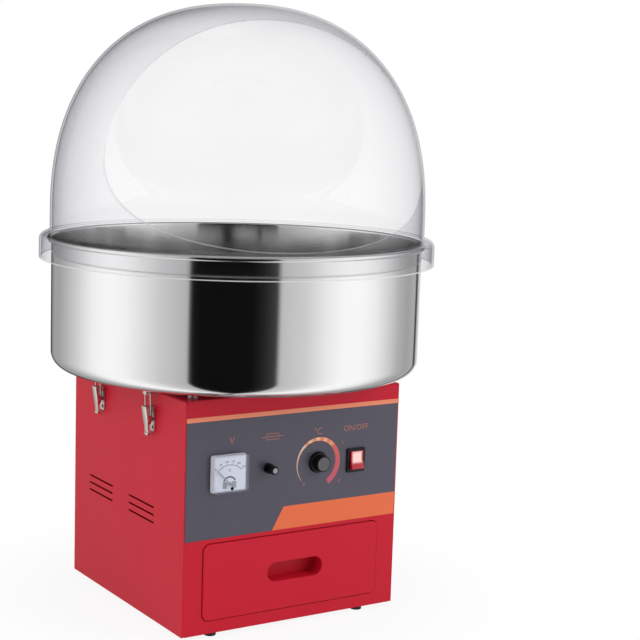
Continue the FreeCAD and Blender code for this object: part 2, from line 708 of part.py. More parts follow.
def dome_curve(radius, height):
    """Half outline of the dome from its wall to its crown, a rounded superellipse."""
    points = []
    for index in range(DOME_POINTS + 1):
        angle = math.pi / 2 * index / DOME_POINTS
        out = radius * math.cos(angle) ** (2 / DOME_EXPONENT) if index < DOME_POINTS else 0.0
        points.append(radial(out, DOME_BASE + height * math.sin(angle) ** (2 / DOME_EXPONENT)))
    curve = Part.BSplineCurve()
    curve.interpolate(Points=points, InitialTangent=VEC(0, 0, 1), FinalTangent=VEC(-1, 0, 0))
    return curve.toShape()


def make_hatch_cutter():
    """An elliptical cylinder that opens the front of the dome."""
    turn, tilt = math.radians(HATCH_TURN), math.radians(HATCH_TILT)
    outward = VEC(math.sin(turn) * math.cos(tilt), -math.cos(turn) * math.cos(tilt), math.sin(tilt))
    across = VEC(math.cos(turn), math.sin(turn), 0)
    upward = across.cross(-outward)
    centre = VEC(0, 0, HATCH_AXIS_Z) + across * HATCH_SHIFT - upward * HATCH_DROP
    ellipse = Part.Ellipse(centre + across * HATCH_HALF_WIDTH, centre + upward * HATCH_HALF_HEIGHT, centre)
    face = Part.Face(Part.Wire([ellipse.toShape()]))
    return face.extrude(outward * 2 * COVER_SKIRT_RADIUS)


def make_dome_cover():
    """The clear cover: a skirt round the bowl's rim, a ledge on it, and the dome with its hatch."""
    inner_wall = COVER_WALL_RADIUS - COVER_SHEET
    ledge_top = LEDGE_UNDER + COVER_SHEET
    path = [(COVER_SKIRT_RADIUS, LEDGE_UNDER - COVER_SKIRT_DROP), (COVER_SKIRT_RADIUS, ledge_top),
            (COVER_WALL_RADIUS, ledge_top), (COVER_WALL_RADIUS, DOME_BASE)]
    flange = spun(sheet_face(path, [COVER_SHOULDER, COVER_FOOT_FILLET], COVER_SHEET, radial))
    outer = dome_curve(COVER_WALL_RADIUS, DOME_HEIGHT)
    inner = dome_curve(inner_wall, DOME_HEIGHT - COVER_SHEET)
    base = Part.makeLine(radial(COVER_WALL_RADIUS, DOME_BASE), radial(inner_wall, DOME_BASE))
    crown_top = DOME_BASE + DOME_HEIGHT
    crown = Part.makeLine(radial(0, crown_top), radial(0, crown_top - COVER_SHEET))
    dome = spun(Part.Face(Part.Wire(Part.__sortEdges__([outer, inner, base, crown]))))
    return join([flange, dome.cut(make_hatch_cutter())])


def make_bowl_support_posts():
    """Round posts between the cabinet's top and the floor of the bowl."""
    return group([rod(POST_RADIUS, (x, y, CABINET_TOP), (x, y, BOWL_BOTTOM)) for x, y in post_places()])


# Toggle latches.  Each is drawn at the right side, with x measured from the cabinet's side.

def latch_places():
    """Side and depth of the four latches."""
    return [("front_left", -1, -LATCH_SPACING / 2), ("back_left", -1, LATCH_SPACING / 2),
            ("front_right", 1, -LATCH_SPACING / 2), ("back_right", 1, LATCH_SPACING / 2)]


def on_side(shape, side, y):
    """A latch piece moved to its place on one side of the cabinet."""
    placed = shape.copy()
    if side < 0:
        placed.rotate(VEC(0, 0, 0), VEC(0, 0, 1), 180)
    placed.translate(VEC(side * HALF_WIDTH, y, 0))
    return placed


def latch_rivet_heights():
    """Heights of the two rivets of a latch's base."""
    return [LATCH_BASE_BOTTOM_Z + 5.0, LATCH_BASE_BOTTOM_Z + 16.0]


def latch_rivet_places():
    """Every latch rivet as x, y, z and side."""
    return [(side * HALF_WIDTH, y, z, side) for _, side, y in latch_places() for z in latch_rivet_heights()]


def keeper_rivet_places():
    """Where the keepers are riveted through the floor of the bowl."""
    x = HALF_WIDTH + keeper_leg_in() - KEEPER_FOOT / 2
    return [(side * x, y) for _, side, y in latch_places()]


def keeper_leg_in():
    """Inner face of the keeper's upright leg, out from the cabinet's side."""
    return BAIL_TOP_OUT - BAIL_WIRE_RADIUS - BAIL_SIDE_GAP - KEEPER_SHEET


def latch_base():
    """Base plate with two ears that carry the lever's pin."""
    top = LATCH_PIVOT_Z + LATCH_EAR_RADIUS
    half = LATCH_BASE_WIDTH / 2
    pieces = [box(0, LATCH_SHEET, -half, half, LATCH_BASE_BOTTOM_Z, top)]
    for side in (-1, 1):
        y0, y1 = sorted((side * LATCH_EAR_SPREAD / 2, side * (LATCH_EAR_SPREAD / 2 - LATCH_SHEET)))
        pieces.append(box(0, LATCH_PIVOT_OUT, y0, y1, top - 2 * LATCH_EAR_RADIUS, top))
        pieces.append(pivot_rod(LATCH_EAR_RADIUS, y0, y1))
    cutters = [pivot_rod(LATCH_PIN_RADIUS, -half, half)]
    for z in latch_rivet_heights():
        cutters.append(rod(RIVET_RADIUS, (-1, 0, z), (2 * LATCH_SHEET, 0, z)))
    return join(pieces).cut(cutters)


def latch_pin():
    """The pin that the lever turns on."""
    return pivot_rod(LATCH_PIN_RADIUS, -LEVER_WIDTH / 2, LEVER_WIDTH / 2)


def pivot_rod(radius, y0, y1):
    """A bar along the lever's turning axis."""
    return rod(radius, (LATCH_PIVOT_OUT, y0, LATCH_PIVOT_Z), (LATCH_PIVOT_OUT, y1, LATCH_PIVOT_Z))


def latch_rivet(z):
    """A domed rivet through the base and the cabinet's side."""
    head = rod(RIVET_HEAD_RADIUS, (LATCH_SHEET, 0, z), (LATCH_SHEET + RIVET_HEAD_HEIGHT, 0, z))
    shank = rod(RIVET_RADIUS, (-SHEET, 0, z), (LATCH_SHEET, 0, z))
    tail = rod(RIVET_HEAD_RADIUS, (-SHEET - RIVET_HEAD_HEIGHT, 0, z), (-SHEET, 0, z))
    return join([head, shank, tail])


def latch_lever():
    """A channel lever with a rolled finger tip at its lower end."""
    half = LEVER_WIDTH / 2
    pivot_inner = LATCH_PIVOT_OUT - LATCH_EAR_RADIUS
    bail_inner = BAIL_PIVOT_OUT - 2.5 * BAIL_WIRE_RADIUS
    outline = [(LEVER_TOP_OUT, LEVER_TOP_Z), (pivot_inner + 2, LEVER_TOP_Z), (pivot_inner, LATCH_PIVOT_Z),
               (bail_inner, BAIL_PIVOT_Z), (bail_inner, BAIL_PIVOT_Z - 2 * BAIL_WIRE_RADIUS),
               (LEVER_TIP_OUT - LATCH_SHEET - 1, LEVER_TIP_Z), (LEVER_TIP_OUT, LEVER_TIP_Z)]
    wire = Part.makePolygon([VEC(x, -half, z) for x, z in outline + outline[:1]])
    cheeks = Part.Face(wire).extrude(VEC(0, LEVER_WIDTH, 0))
    lean = (LEVER_TOP_OUT - LEVER_TIP_OUT) / (LEVER_TOP_Z - LEVER_TIP_Z)
    skin = LATCH_SHEET * math.hypot(1, lean)
    reach = 4 * LEVER_WIDTH
    hollow_line = [(LEVER_TIP_OUT - skin - reach * lean, LEVER_TIP_Z - reach), (-reach, LEVER_TIP_Z - reach),
                   (-reach, LEVER_TOP_Z + reach), (LEVER_TOP_OUT - skin + reach * lean, LEVER_TOP_Z + reach)]
    inside = half - LATCH_SHEET
    hollow = Part.Face(Part.makePolygon([VEC(x, -inside, z) for x, z in hollow_line + hollow_line[:1]]))
    hollow = hollow.extrude(VEC(0, 2 * inside, 0))
    pin_hole = pivot_rod(LATCH_PIN_RADIUS + PIVOT_CLEARANCE, -half - 1, half + 1)
    bail_hole = rod(BAIL_WIRE_RADIUS + PIVOT_CLEARANCE, (BAIL_PIVOT_OUT, -half - 1, BAIL_PIVOT_Z),
                    (BAIL_PIVOT_OUT, half + 1, BAIL_PIVOT_Z))
    tip_x = LEVER_TIP_OUT - LATCH_SHEET / 2
    tip = rod(LEVER_TIP_RADIUS, (tip_x, -half, LEVER_TIP_Z), (tip_x, half, LEVER_TIP_Z))
    return join([cheeks.cut([hollow, pin_hole, bail_hole]), tip]).common(lever_outline())


def lever_outline():
    """The lever's outline seen from the front: parallel above, a narrower round-ended tongue below."""
    half, tongue = LEVER_WIDTH / 2, LEVER_TONGUE_WIDTH / 2
    bottom, top = LEVER_TIP_Z - LEVER_TIP_RADIUS, LEVER_TOP_Z + 2 * LEVER_CORNER
    shoulder = LEVER_NECK_Z + LEVER_NECK_RISE
    right = [(tongue, bottom), (tongue, LEVER_NECK_Z), (half, shoulder), (half, top)]
    left = [(-y, z) for y, z in reversed(right)]
    face = outline_face(right + left, LEVER_CORNER, lambda y, z: VEC(0, y, z))
    return face.extrude(VEC(2 * LEVER_TOP_OUT, 0, 0))


def latch_bail():
    """The wire loop from the lever up over the keeper's hook."""
    leg = LEVER_WIDTH / 2 + BAIL_SIDE_GAP + BAIL_WIRE_RADIUS
    end = LEVER_WIDTH / 2 - LATCH_SHEET
    lean = (BAIL_TOP_OUT - BAIL_PIVOT_OUT) / (BAIL_TOP_Z - BAIL_PIVOT_Z)

    def place(y, z):
        return VEC(BAIL_PIVOT_OUT + lean * (z - BAIL_PIVOT_Z), y, z)

    points = [(-end, BAIL_PIVOT_Z), (-leg, BAIL_PIVOT_Z), (-leg, BAIL_TOP_Z), (leg, BAIL_TOP_Z),
              (leg, BAIL_PIVOT_Z), (end, BAIL_PIVOT_Z)]
    foot_bend = BAIL_WIRE_RADIUS + 0.2
    path = Part.Wire(rounded_edges(points, [foot_bend, BAIL_BEND, BAIL_BEND, foot_bend], place))
    ring = Part.Wire([Part.makeCircle(BAIL_WIRE_RADIUS, place(-end, BAIL_PIVOT_Z), VEC(0, 1, 0))])
    return path.makePipeShell([ring], True, False)


def keeper():
    """The hook under the bowl that the bail pulls on."""
    inner = keeper_leg_in()
    under = BOWL_BOTTOM - KEEPER_SHEET
    trough = BAIL_TOP_Z - BAIL_WIRE_RADIUS - BAIL_SIDE_GAP
    sole = trough - KEEPER_SHEET
    lip = BAIL_TOP_OUT + BAIL_WIRE_RADIUS + KEEPER_SWING + BAIL_SIDE_GAP
    foot, leg, face, end = inner - KEEPER_FOOT, inner + KEEPER_SHEET, lip + KEEPER_SHEET, sole + KEEPER_LIP
    upper = [(foot, BOWL_BOTTOM), (leg, BOWL_BOTTOM), (leg, trough), (lip, trough), (lip, end)]
    lower = [(face, end), (face, sole), (inner, sole), (inner, under), (foot, under)]
    outline = upper + lower
    section = Part.makePolygon([VEC(x, -KEEPER_WIDTH / 2, z) for x, z in outline + outline[:1]])
    hook = Part.Face(section).extrude(VEC(0, KEEPER_WIDTH, 0))
    edges = [edge for edge in hook.Edges if stands_at(edge, [(inner, sole), (face, sole)])]
    hook = hook.makeFillet(KEEPER_SHEET / 2, edges)
    x = inner - KEEPER_FOOT / 2
    return hook.cut(rod(RIVET_RADIUS, (x, 0, under - 1), (x, 0, BOWL_BOTTOM + 1)))


def stands_at(edge, corners):
    """True for an edge across the hook at one of the given corners of its section."""
    box_of = edge.BoundBox
    if box_of.YLength < KEEPER_WIDTH / 2:
        return False
    return any(math.dist((box_of.XMin, box_of.ZMin), corner) < EDGE_TOLERANCE for corner in corners)


def make_bowl_keepers():
    """The four hooks under the bowl."""
    return group([on_side(keeper(), side, y) for _, side, y in latch_places()])


def keeper_rivets():
    """Rivets that hold the hooks to the floor of the bowl."""
    rivets = []
    bottom, top = BOWL_BOTTOM - KEEPER_SHEET, BOWL_BOTTOM + BOWL_SHEET
    for x, y in keeper_rivet_places():
        tail = rod(RIVET_HEAD_RADIUS, (x, y, bottom - RIVET_HEAD_HEIGHT), (x, y, bottom))
        shank = rod(RIVET_RADIUS, (x, y, bottom), (x, y, top))
        head = rod(RIVET_HEAD_RADIUS, (x, y, top), (x, y, top + RIVET_HEAD_HEIGHT))
        rivets.append(join([tail, shank, head]))
    return rivets


def make_latch_bases():
    """The four latch bases."""
    return group([on_side(latch_base(), side, y) for _, side, y in latch_places()])


def latch_pins():
    """The pivot pins of the four levers."""
    return [on_side(latch_pin(), side, y) for _, side, y in latch_places()]


def latch_rivets():
    """Two rivets for each latch base."""
    return [on_side(latch_rivet(z), side, y) for _, side, y in latch_places() for z in latch_rivet_heights()]


# Motor

def make_motor_caps():
    """Upper end cap with four mounting ears, and the lower end cap."""
    ears = [rod(MOTOR_EAR_RADIUS, (x, y, STATOR_TOP), (x, y, MOTOR_TOP)) for x, y in motor_bolt_places()]
    bridges = []
    for index in range(4):
        arm = box(0, MOTOR_BOLT_CIRCLE, -MOTOR_EAR_RADIUS, MOTOR_EAR_RADIUS, STATOR_TOP, MOTOR_TOP)
        arm.rotate(VEC(0, 0, 0), VEC(0, 0, 1), 45 + 90 * index)
        bridges.append(arm)
    upper = join([rod(MOTOR_RADIUS, (0, 0, STATOR_TOP), (0, 0, MOTOR_TOP))] + ears + bridges)
    lower = rod(MOTOR_RADIUS, (0, 0, MOTOR_BOTTOM), (0, 0, STATOR_BOTTOM))
    upper_seat = rod(BEARING_RADIUS, (0, 0, STATOR_TOP), (0, 0, STATOR_TOP + BEARING_WIDTH))
    lower_seat = rod(BEARING_RADIUS, (0, 0, STATOR_BOTTOM - BEARING_WIDTH), (0, 0, STATOR_BOTTOM))
    passage = rod(SHAFT_RADIUS + 2 * RUNNING_GAP, (0, 0, MOTOR_BOTTOM - 1), (0, 0, MOTOR_TOP + 1))
    return group([upper.cut([upper_seat, passage]), lower.cut([lower_seat, passage])])


def make_motor_stator():
    """The motor's body between its caps, with cooling ribs."""
    ring = tube(MOTOR_RADIUS - 2, ROTOR_RADIUS + AIR_GAP, (0, 0, STATOR_BOTTOM), (0, 0, STATOR_TOP))
    rib = box(MOTOR_RADIUS - 4, MOTOR_RADIUS, -1.5, 1.5, STATOR_BOTTOM, STATOR_TOP)
    return join([ring] + around(rib, 16))


def make_motor_rotor():
    """The laminated rotor on the shaft."""
    middle = (STATOR_TOP + STATOR_BOTTOM) / 2
    low, high = middle - ROTOR_HEIGHT / 2, middle + ROTOR_HEIGHT / 2
    return tube(ROTOR_RADIUS, SHAFT_RADIUS, (0, 0, low), (0, 0, high))


def make_motor_bearings():
    """The two ball bearings, each as one ring."""
    bore = SHAFT_RADIUS + PIVOT_CLEARANCE
    upper = tube(BEARING_RADIUS, bore, (0, 0, STATOR_TOP), (0, 0, STATOR_TOP + BEARING_WIDTH))
    lower = tube(BEARING_RADIUS, bore, (0, 0, STATOR_BOTTOM - BEARING_WIDTH), (0, 0, STATOR_BOTTOM))
    return group([upper, lower])


def make_motor_standoffs():
    """Rubber standoffs that hang the motor from the cabinet's top."""
    top = CABINET_TOP - SHEET
    return group([rod(MOTOR_STANDOFF_RADIUS, (x, y, MOTOR_TOP), (x, y, top)) for x, y in motor_bolt_places()])


def make_motor_shaft():
    """The shaft from the fan up to the spinner head."""
    return rod(SHAFT_RADIUS, (0, 0, MOTOR_BOTTOM - SHAFT_TAIL), (0, 0, SHAFT_TOP))


def make_cooling_fan():
    """The fan under the motor."""
    top = MOTOR_BOTTOM - 4.0
    hub = tube(3 * SHAFT_RADIUS, SHAFT_RADIUS, (0, 0, top - FAN_HEIGHT), (0, 0, top))
    blade = box(SHAFT_RADIUS * 2.5, FAN_RADIUS, -1, 1, top - FAN_HEIGHT, top)
    blade.rotate(VEC(SHAFT_RADIUS * 3, 0, top - FAN_HEIGHT / 2), VEC(1, 0, 0), 30)
    return join([hub] + around(blade, FAN_BLADES))


# Brush gear

def make_slip_ring_carrier():
    """The insulating sleeve on the shaft."""
    return tube(CARRIER_RADIUS, SHAFT_RADIUS, (0, 0, CARRIER_BOTTOM), (0, 0, CARRIER_BOTTOM + CARRIER_HEIGHT))


def make_slip_rings():
    """Two brass rings on the sleeve."""
    return group([tube(RING_RADIUS, CARRIER_RADIUS, (0, 0, z), (0, 0, z + RING_WIDTH)) for z in RING_HEIGHTS])


def brush_box(z, grow, x0, x1):
    """A square bar at the height of one ring."""
    middle = z + RING_WIDTH / 2
    half = BRUSH_SIZE / 2 + grow
    return box(x0, x1, -half, half, middle - half, middle + half)


def make_brush(row):
    """A carbon brush whose end follows its ring."""
    z = RING_HEIGHTS[row]
    block = brush_box(z, 0, RING_RADIUS - BRUSH_SIZE, RING_RADIUS + BRUSH_LENGTH)
    clearance = rod(RING_RADIUS + BRUSH_GAP, (0, 0, z - BRUSH_SIZE), (0, 0, z + RING_WIDTH + BRUSH_SIZE))
    return block.cut(clearance)


def holder_front():
    """Face of the brush holder's body next to the rings."""
    return RING_RADIUS + BRUSH_LENGTH / 2 - 2


def make_brush_holder():
    """Moulded base with two mounting slots, and the body that guides both brushes."""
    x0 = holder_front()
    x1 = x0 + HOLDER_BODY_LENGTH
    end = x1 + HOLDER_BASE_TAIL
    middle = (x0 + end) / 2
    half_length, half_body = HOLDER_BASE_LENGTH / 2, HOLDER_BODY_WIDTH / 2
    base_top = CABINET_TOP + HOLDER_BASE_HEIGHT
    corners = [(x0, -half_length), (end, -half_length), (end, half_length), (x0, half_length)]
    base = outline_face(corners, HOLDER_BASE_CORNER, lambda x, y: VEC(x, y, CABINET_TOP))
    base = base.extrude(VEC(0, 0, HOLDER_BASE_HEIGHT))
    body = box(x0, x1, -half_body, half_body, base_top, base_top + HOLDER_BODY_HEIGHT)
    channel_end = RING_RADIUS + BRUSH_LENGTH + BRUSH_TRAVEL + RUNNING_GAP
    cutters = [brush_box(z, PIVOT_CLEARANCE, x0 - 1, channel_end) for z in RING_HEIGHTS]
    for side in (-1, 1):
        slot_y = side * (half_length + half_body) / 2
        reach, half_slot = HOLDER_SLOT_LENGTH / 2, HOLDER_SLOT_WIDTH / 2
        corners = [(middle - reach, slot_y - half_slot), (middle + reach, slot_y - half_slot),
                   (middle + reach, slot_y + half_slot), (middle - reach, slot_y + half_slot)]
        slot = outline_face(corners, half_slot - 0.1, lambda x, y: VEC(x, y, CABINET_TOP - 1))
        cutters.append(slot.extrude(VEC(0, 0, HOLDER_BASE_HEIGHT + 2)))
    return join([base, body]).cut(cutters)


def make_brush_terminals():
    """A brass tag behind each brush, with a blade that the wire plugs on to."""
    back = holder_front() + HOLDER_BODY_LENGTH
    edge = HOLDER_BODY_WIDTH / 2
    tags = []
    for side, z in zip((-1, 1), RING_HEIGHTS):
        middle = z + RING_WIDTH / 2
        low, high = middle - TERMINAL_WIDTH / 2, middle + TERMINAL_WIDTH / 2
        tag_ends = sorted((0, side * edge))
        blade_ends = sorted((side * edge, side * (edge - TERMINAL_THICKNESS)))
        tag = box(back, back + TERMINAL_THICKNESS, *tag_ends, low, high)
        blade = box(back, back + TERMINAL_BLADE, *blade_ends, low, high)
        tags.append(join([tag, blade]))
    return group(tags)


# Spinner head

def make_head_base():
    """The head's floor, with a hub and holes for the heater's posts and the head's screws."""
    floor = rod(HEAD_RADIUS, (0, 0, HEAD_BOTTOM), (0, 0, HEAD_TOP))
    hub = rod(CARRIER_RADIUS, (0, 0, CARRIER_BOTTOM + CARRIER_HEIGHT), (0, 0, HEAD_BOTTOM))
    cutters = [rod(SHAFT_RADIUS, (0, 0, HEAD_BOTTOM - HEAD_GAP), (0, 0, HEAD_TOP + 1))]
    for x, y in heater_post_places():
        cutters.append(rod(HEATER_POST_RADIUS + 1, (x, y, HEAD_BOTTOM - 1), (x, y, HEAD_TOP + 1)))
    for x, y in head_screw_places():
        cutters.append(rod(HEAD_SCREW_RADIUS, (x, y, HEAD_BOTTOM - 1), (x, y, HEAD_TOP + 1)))
    return join([floor, hub]).cut(cutters)


def heater_post_places():
    """Centres of the heater's supports."""
    return [(HEATER_RADIUS * math.cos(math.radians(a)), HEATER_RADIUS * math.sin(math.radians(a)))
            for a in (0, 90, 180, 270)]


def head_screw_places():
    """Centres of the three long screws of the head."""
    return [(HEAD_SCREW_CIRCLE * math.cos(math.radians(a)), HEAD_SCREW_CIRCLE * math.sin(math.radians(a)))
            for a in (30, 150, 270)]


def make_heater_posts():
    """Ceramic posts that carry the heater ribbon above the head's floor."""
    posts = []
    for x, y in heater_post_places():
        pin = rod(HEATER_POST_RADIUS, (x, y, HEAD_BOTTOM - 2), (x, y, HEAD_TOP))
        cap = rod(HEATER_POST_RADIUS + 2, (x, y, HEAD_TOP), (x, y, HEAD_TOP + HEATER_POST_HEIGHT))
        posts.append(join([pin, cap]))
    return group(posts)


def wave_wire(offset, z):
    """A closed wavy line round the head."""
    count = 4 * HEATER_WAVES
    points = []
    for index in range(count):
        angle = 2 * math.pi * index / count
        radius = HEATER_RADIUS + offset + HEATER_WAVE * math.sin(HEATER_WAVES * angle)
        points.append(VEC(radius * math.cos(angle), radius * math.sin(angle), z))
    curve = Part.BSplineCurve()
    curve.interpolate(Points=points, PeriodicFlag=True)
    return Part.Wire([curve.toShape()])


def make_heater_ribbon():
    """The corrugated heating ribbon, standing on its posts."""
    z = HEAD_TOP + HEATER_POST_HEIGHT
    outer = Part.Face(wave_wire(HEATER_RIBBON / 2, z)).extrude(VEC(0, 0, HEATER_HEIGHT))
    inner = Part.Face(wave_wire(-HEATER_RIBBON / 2, z - 1)).extrude(VEC(0, 0, HEATER_HEIGHT + 2))
    return outer.cut(inner)


def make_perforated_band():
    """The slotted band that the melted sugar leaves through."""
    ring = tube(BAND_RADIUS, BAND_RADIUS - BAND_SHEET, (0, 0, HEAD_TOP), (0, 0, BAND_TOP))
    middle = (HEAD_TOP + BAND_TOP) / 2
    half, rise = BAND_SLOT_WIDTH / 2, BAND_SLOT_HEIGHT / 2
    inside, outside = BAND_RADIUS - 3 * BAND_SHEET, BAND_RADIUS + BAND_SHEET
    slot = box(inside, outside, -half, half, middle - rise, middle + rise)
    return ring.cut(around(slot, BAND_SLOTS))


def make_head_cover():
    """The head's lid, dished up to the neck that the sugar is poured into."""
    neck = MOUTH_RADIUS + HEAD_COVER_SHEET
    top = BAND_TOP + HEAD_COVER_SHEET
    path = [(HEAD_RADIUS, BAND_TOP - HEAD_COVER_LAP), (HEAD_RADIUS, top), (neck, top + HEAD_COVER_RISE),
            (neck, BAND_TOP + HEAD_COVER_RISE + MOUTH_NECK)]
    lid = spun(sheet_face(path, [HEAD_COVER_BEND] * 2, HEAD_COVER_SHEET, radial))
    low, high = BAND_TOP - 1, BAND_TOP + 2 * MOUTH_NECK
    holes = [rod(HEAD_SCREW_RADIUS, (x, y, low), (x, y, high)) for x, y in head_screw_places()]
    return lid.cut(holes)


def head_cover_height(radius):
    """Height of the lid's upper skin at a radius."""
    outer, inner = HEAD_RADIUS, MOUTH_RADIUS + HEAD_COVER_SHEET
    share = (outer - radius) / (outer - inner)
    return BAND_TOP + HEAD_COVER_SHEET + HEAD_COVER_RISE * share


def head_screws():
    """Three long screws that clamp the lid and the band to the head's floor."""
    screws = []
    for x, y in head_screw_places():
        seat = head_cover_height(HEAD_SCREW_CIRCLE - 2 * HEAD_SCREW_RADIUS)
        shank = rod(HEAD_SCREW_RADIUS, (x, y, HEAD_BOTTOM), (x, y, seat))
        head = rod(2 * HEAD_SCREW_RADIUS, (x, y, seat), (x, y, seat + HEAD_SCREW_HEAD))
        screws.append(join([shank, head]))
    return screws


def head_nut():
    """The nut that holds the head on the shaft."""
    corners = [VEC(HEAD_NUT_RADIUS * math.cos(math.radians(60 * index)),
                   HEAD_NUT_RADIUS * math.sin(math.radians(60 * index)), HEAD_TOP) for index in range(6)]
    blank = Part.Face(Part.makePolygon(corners + corners[:1])).extrude(VEC(0, 0, HEAD_NUT_HEIGHT))
    return blank.cut(rod(SHAFT_RADIUS, (0, 0, HEAD_TOP - 1), (0, 0, SHAFT_TOP + 1)))


# Controls

def make_meter_case():
    """The square base of the voltmeter and its round barrel behind the panel."""
    half, rise = METER_WIDTH / 2, METER_HEIGHT / 2
    face = FASCIA_FRONT - METER_BASE_DEPTH
    plate = front_plate(METER_X - half, METER_X + half, METER_Z - rise, METER_Z + rise, METER_CORNER,
                        face, FASCIA_FRONT)
    rear = PANEL_BACK + METER_BARREL_DEPTH
    barrel = rod(METER_BARREL_RADIUS, (METER_X, FASCIA_FRONT, METER_Z), (METER_X, rear, METER_Z))
    pivot = meter_pivot()
    hub_end = face - METER_DIAL_THICKNESS - METER_HUB_HEIGHT
    hub = rod(METER_HUB_RADIUS, (METER_X, face, pivot), (METER_X, hub_end, pivot))
    return join([plate, barrel, hub])


def meter_pivot():
    """Height of the needle's pivot."""
    return METER_Z - METER_PIVOT_DROP


def make_meter_dial():
    """The white scale plate."""
    face = FASCIA_FRONT - METER_BASE_DEPTH
    half = METER_WIDTH / 2 - METER_WALL - PANEL_GAP
    rise = METER_HEIGHT / 2 - METER_WALL - PANEL_GAP
    front = face - METER_DIAL_THICKNESS
    plate = box(METER_X - half, METER_X + half, front, face, METER_Z - rise, METER_Z + rise)
    pivot = meter_pivot()
    return plate.cut(rod(METER_HUB_RADIUS, (METER_X, face + 1, pivot), (METER_X, front - 1, pivot)))


def make_meter_cover():
    """The clear box over the dial."""
    half, rise = METER_WIDTH / 2, METER_HEIGHT / 2
    back = FASCIA_FRONT - METER_BASE_DEPTH
    front = back - METER_COVER_DEPTH
    left, right, low, high = METER_X - half, METER_X + half, METER_Z - rise, METER_Z + rise
    shell = front_plate(left, right, low, high, METER_CORNER, front, back)
    inside = box(left + METER_WALL, right - METER_WALL, front + METER_WALL, back + 1, low + METER_WALL,
                 high - METER_WALL)
    return shell.cut(inside)


def make_meter_needle():
    """The pointer on its hub, at rest at the low end of the scale."""
    face = FASCIA_FRONT - METER_BASE_DEPTH - METER_DIAL_THICKNESS - METER_HUB_HEIGHT
    pivot = meter_pivot()
    back = face - RUNNING_GAP
    hub = rod(2.4, (METER_X, back, pivot), (METER_X, back - 1.6, pivot))
    pointer = box(METER_X - 0.6, METER_X + 0.6, back - 1.2, back - 0.5, pivot - 5, pivot + NEEDLE_LENGTH)
    needle = join([hub, pointer])
    needle.rotate(VEC(METER_X, 0, pivot), VEC(0, 1, 0), -NEEDLE_REST_ANGLE)
    return needle


def make_meter_zero_screw():
    """The slotted zero screw in the clear cover, below the pivot."""
    front = FASCIA_FRONT - METER_BASE_DEPTH - METER_COVER_DEPTH
    z = METER_Z - METER_HEIGHT / 2 + METER_WALL + 4.5
    head = rod(2.4, (METER_X, front - 0.8, z), (METER_X, front, z))
    slot = box(METER_X - 3, METER_X + 3, front - 1, front - 0.4, z - 0.35, z + 0.35)
    return head.cut(slot)


def make_fuse_holder():
    """Collar in front of the panel and the barrel behind it."""
    front = FASCIA_FRONT - FUSE_COLLAR_DEPTH
    rear = PANEL_BACK + FUSE_BARREL_LENGTH
    collar = rod(FUSE_COLLAR_RADIUS, (FUSE_X, front, FUSE_Z), (FUSE_X, FASCIA_FRONT, FUSE_Z))
    barrel = rod(FUSE_BARREL_RADIUS, (FUSE_X, FASCIA_FRONT, FUSE_Z), (FUSE_X, rear, FUSE_Z))
    bore = rod(FUSE_BORE_RADIUS, (FUSE_X, front - 1, FUSE_Z), (FUSE_X, rear - 4, FUSE_Z))
    return join([collar, barrel]).cut(bore)


def make_fuse_cap():
    """The cap, with a plug that turns in the barrel and grips the fuse link."""
    seat = FASCIA_FRONT - FUSE_COLLAR_DEPTH - RUNNING_GAP
    outer = seat - FUSE_CAP_DEPTH
    cap = rod(FUSE_CAP_RADIUS, (FUSE_X, outer, FUSE_Z), (FUSE_X, seat, FUSE_Z))
    rim = [edge for edge in cap.Edges if abs(edge.BoundBox.YMax - outer) < EDGE_TOLERANCE]
    cap = cap.makeFillet(2.0, rim)
    plug = rod(FUSE_BORE_RADIUS - PIVOT_CLEARANCE, (FUSE_X, seat, FUSE_Z), (FUSE_X, seat + 10, FUSE_Z))
    slot = box(FUSE_X - 4, FUSE_X + 4, outer - 1, outer + 1.2, FUSE_Z - 0.6, FUSE_Z + 0.6)
    socket = rod(FUSE_LINK_RADIUS, (FUSE_X, seat + 4, FUSE_Z), (FUSE_X, seat + 11, FUSE_Z))
    return join([cap, plug]).cut([slot, socket])


def make_fuse_link():
    """The glass fuse held in the cap's plug."""
    start = FASCIA_FRONT - FUSE_COLLAR_DEPTH - RUNNING_GAP + 4
    return rod(FUSE_LINK_RADIUS, (FUSE_X, start, FUSE_Z), (FUSE_X, start + FUSE_LINK_LENGTH, FUSE_Z))


def make_potentiometer():
    """The control's body behind the panel with its bushing through it."""
    body = rod(POT_BODY_RADIUS, (KNOB_X, PANEL_BACK, KNOB_Z), (KNOB_X, PANEL_BACK + POT_BODY_DEPTH, KNOB_Z))
    bushing = rod(POT_BUSHING_RADIUS, (KNOB_X, FASCIA_FRONT - 1.0, KNOB_Z), (KNOB_X, PANEL_BACK, KNOB_Z))
    bore = rod(POT_SHAFT_RADIUS + PIVOT_CLEARANCE, (KNOB_X, FASCIA_FRONT - 2, KNOB_Z),
               (KNOB_X, PANEL_BACK + POT_BODY_DEPTH - 2, KNOB_Z))
    return join([body, bushing]).cut(bore)


def knob_face():
    """Depth of the knob's outer face."""
    return FASCIA_FRONT - RUNNING_GAP - KNOB_DEPTH


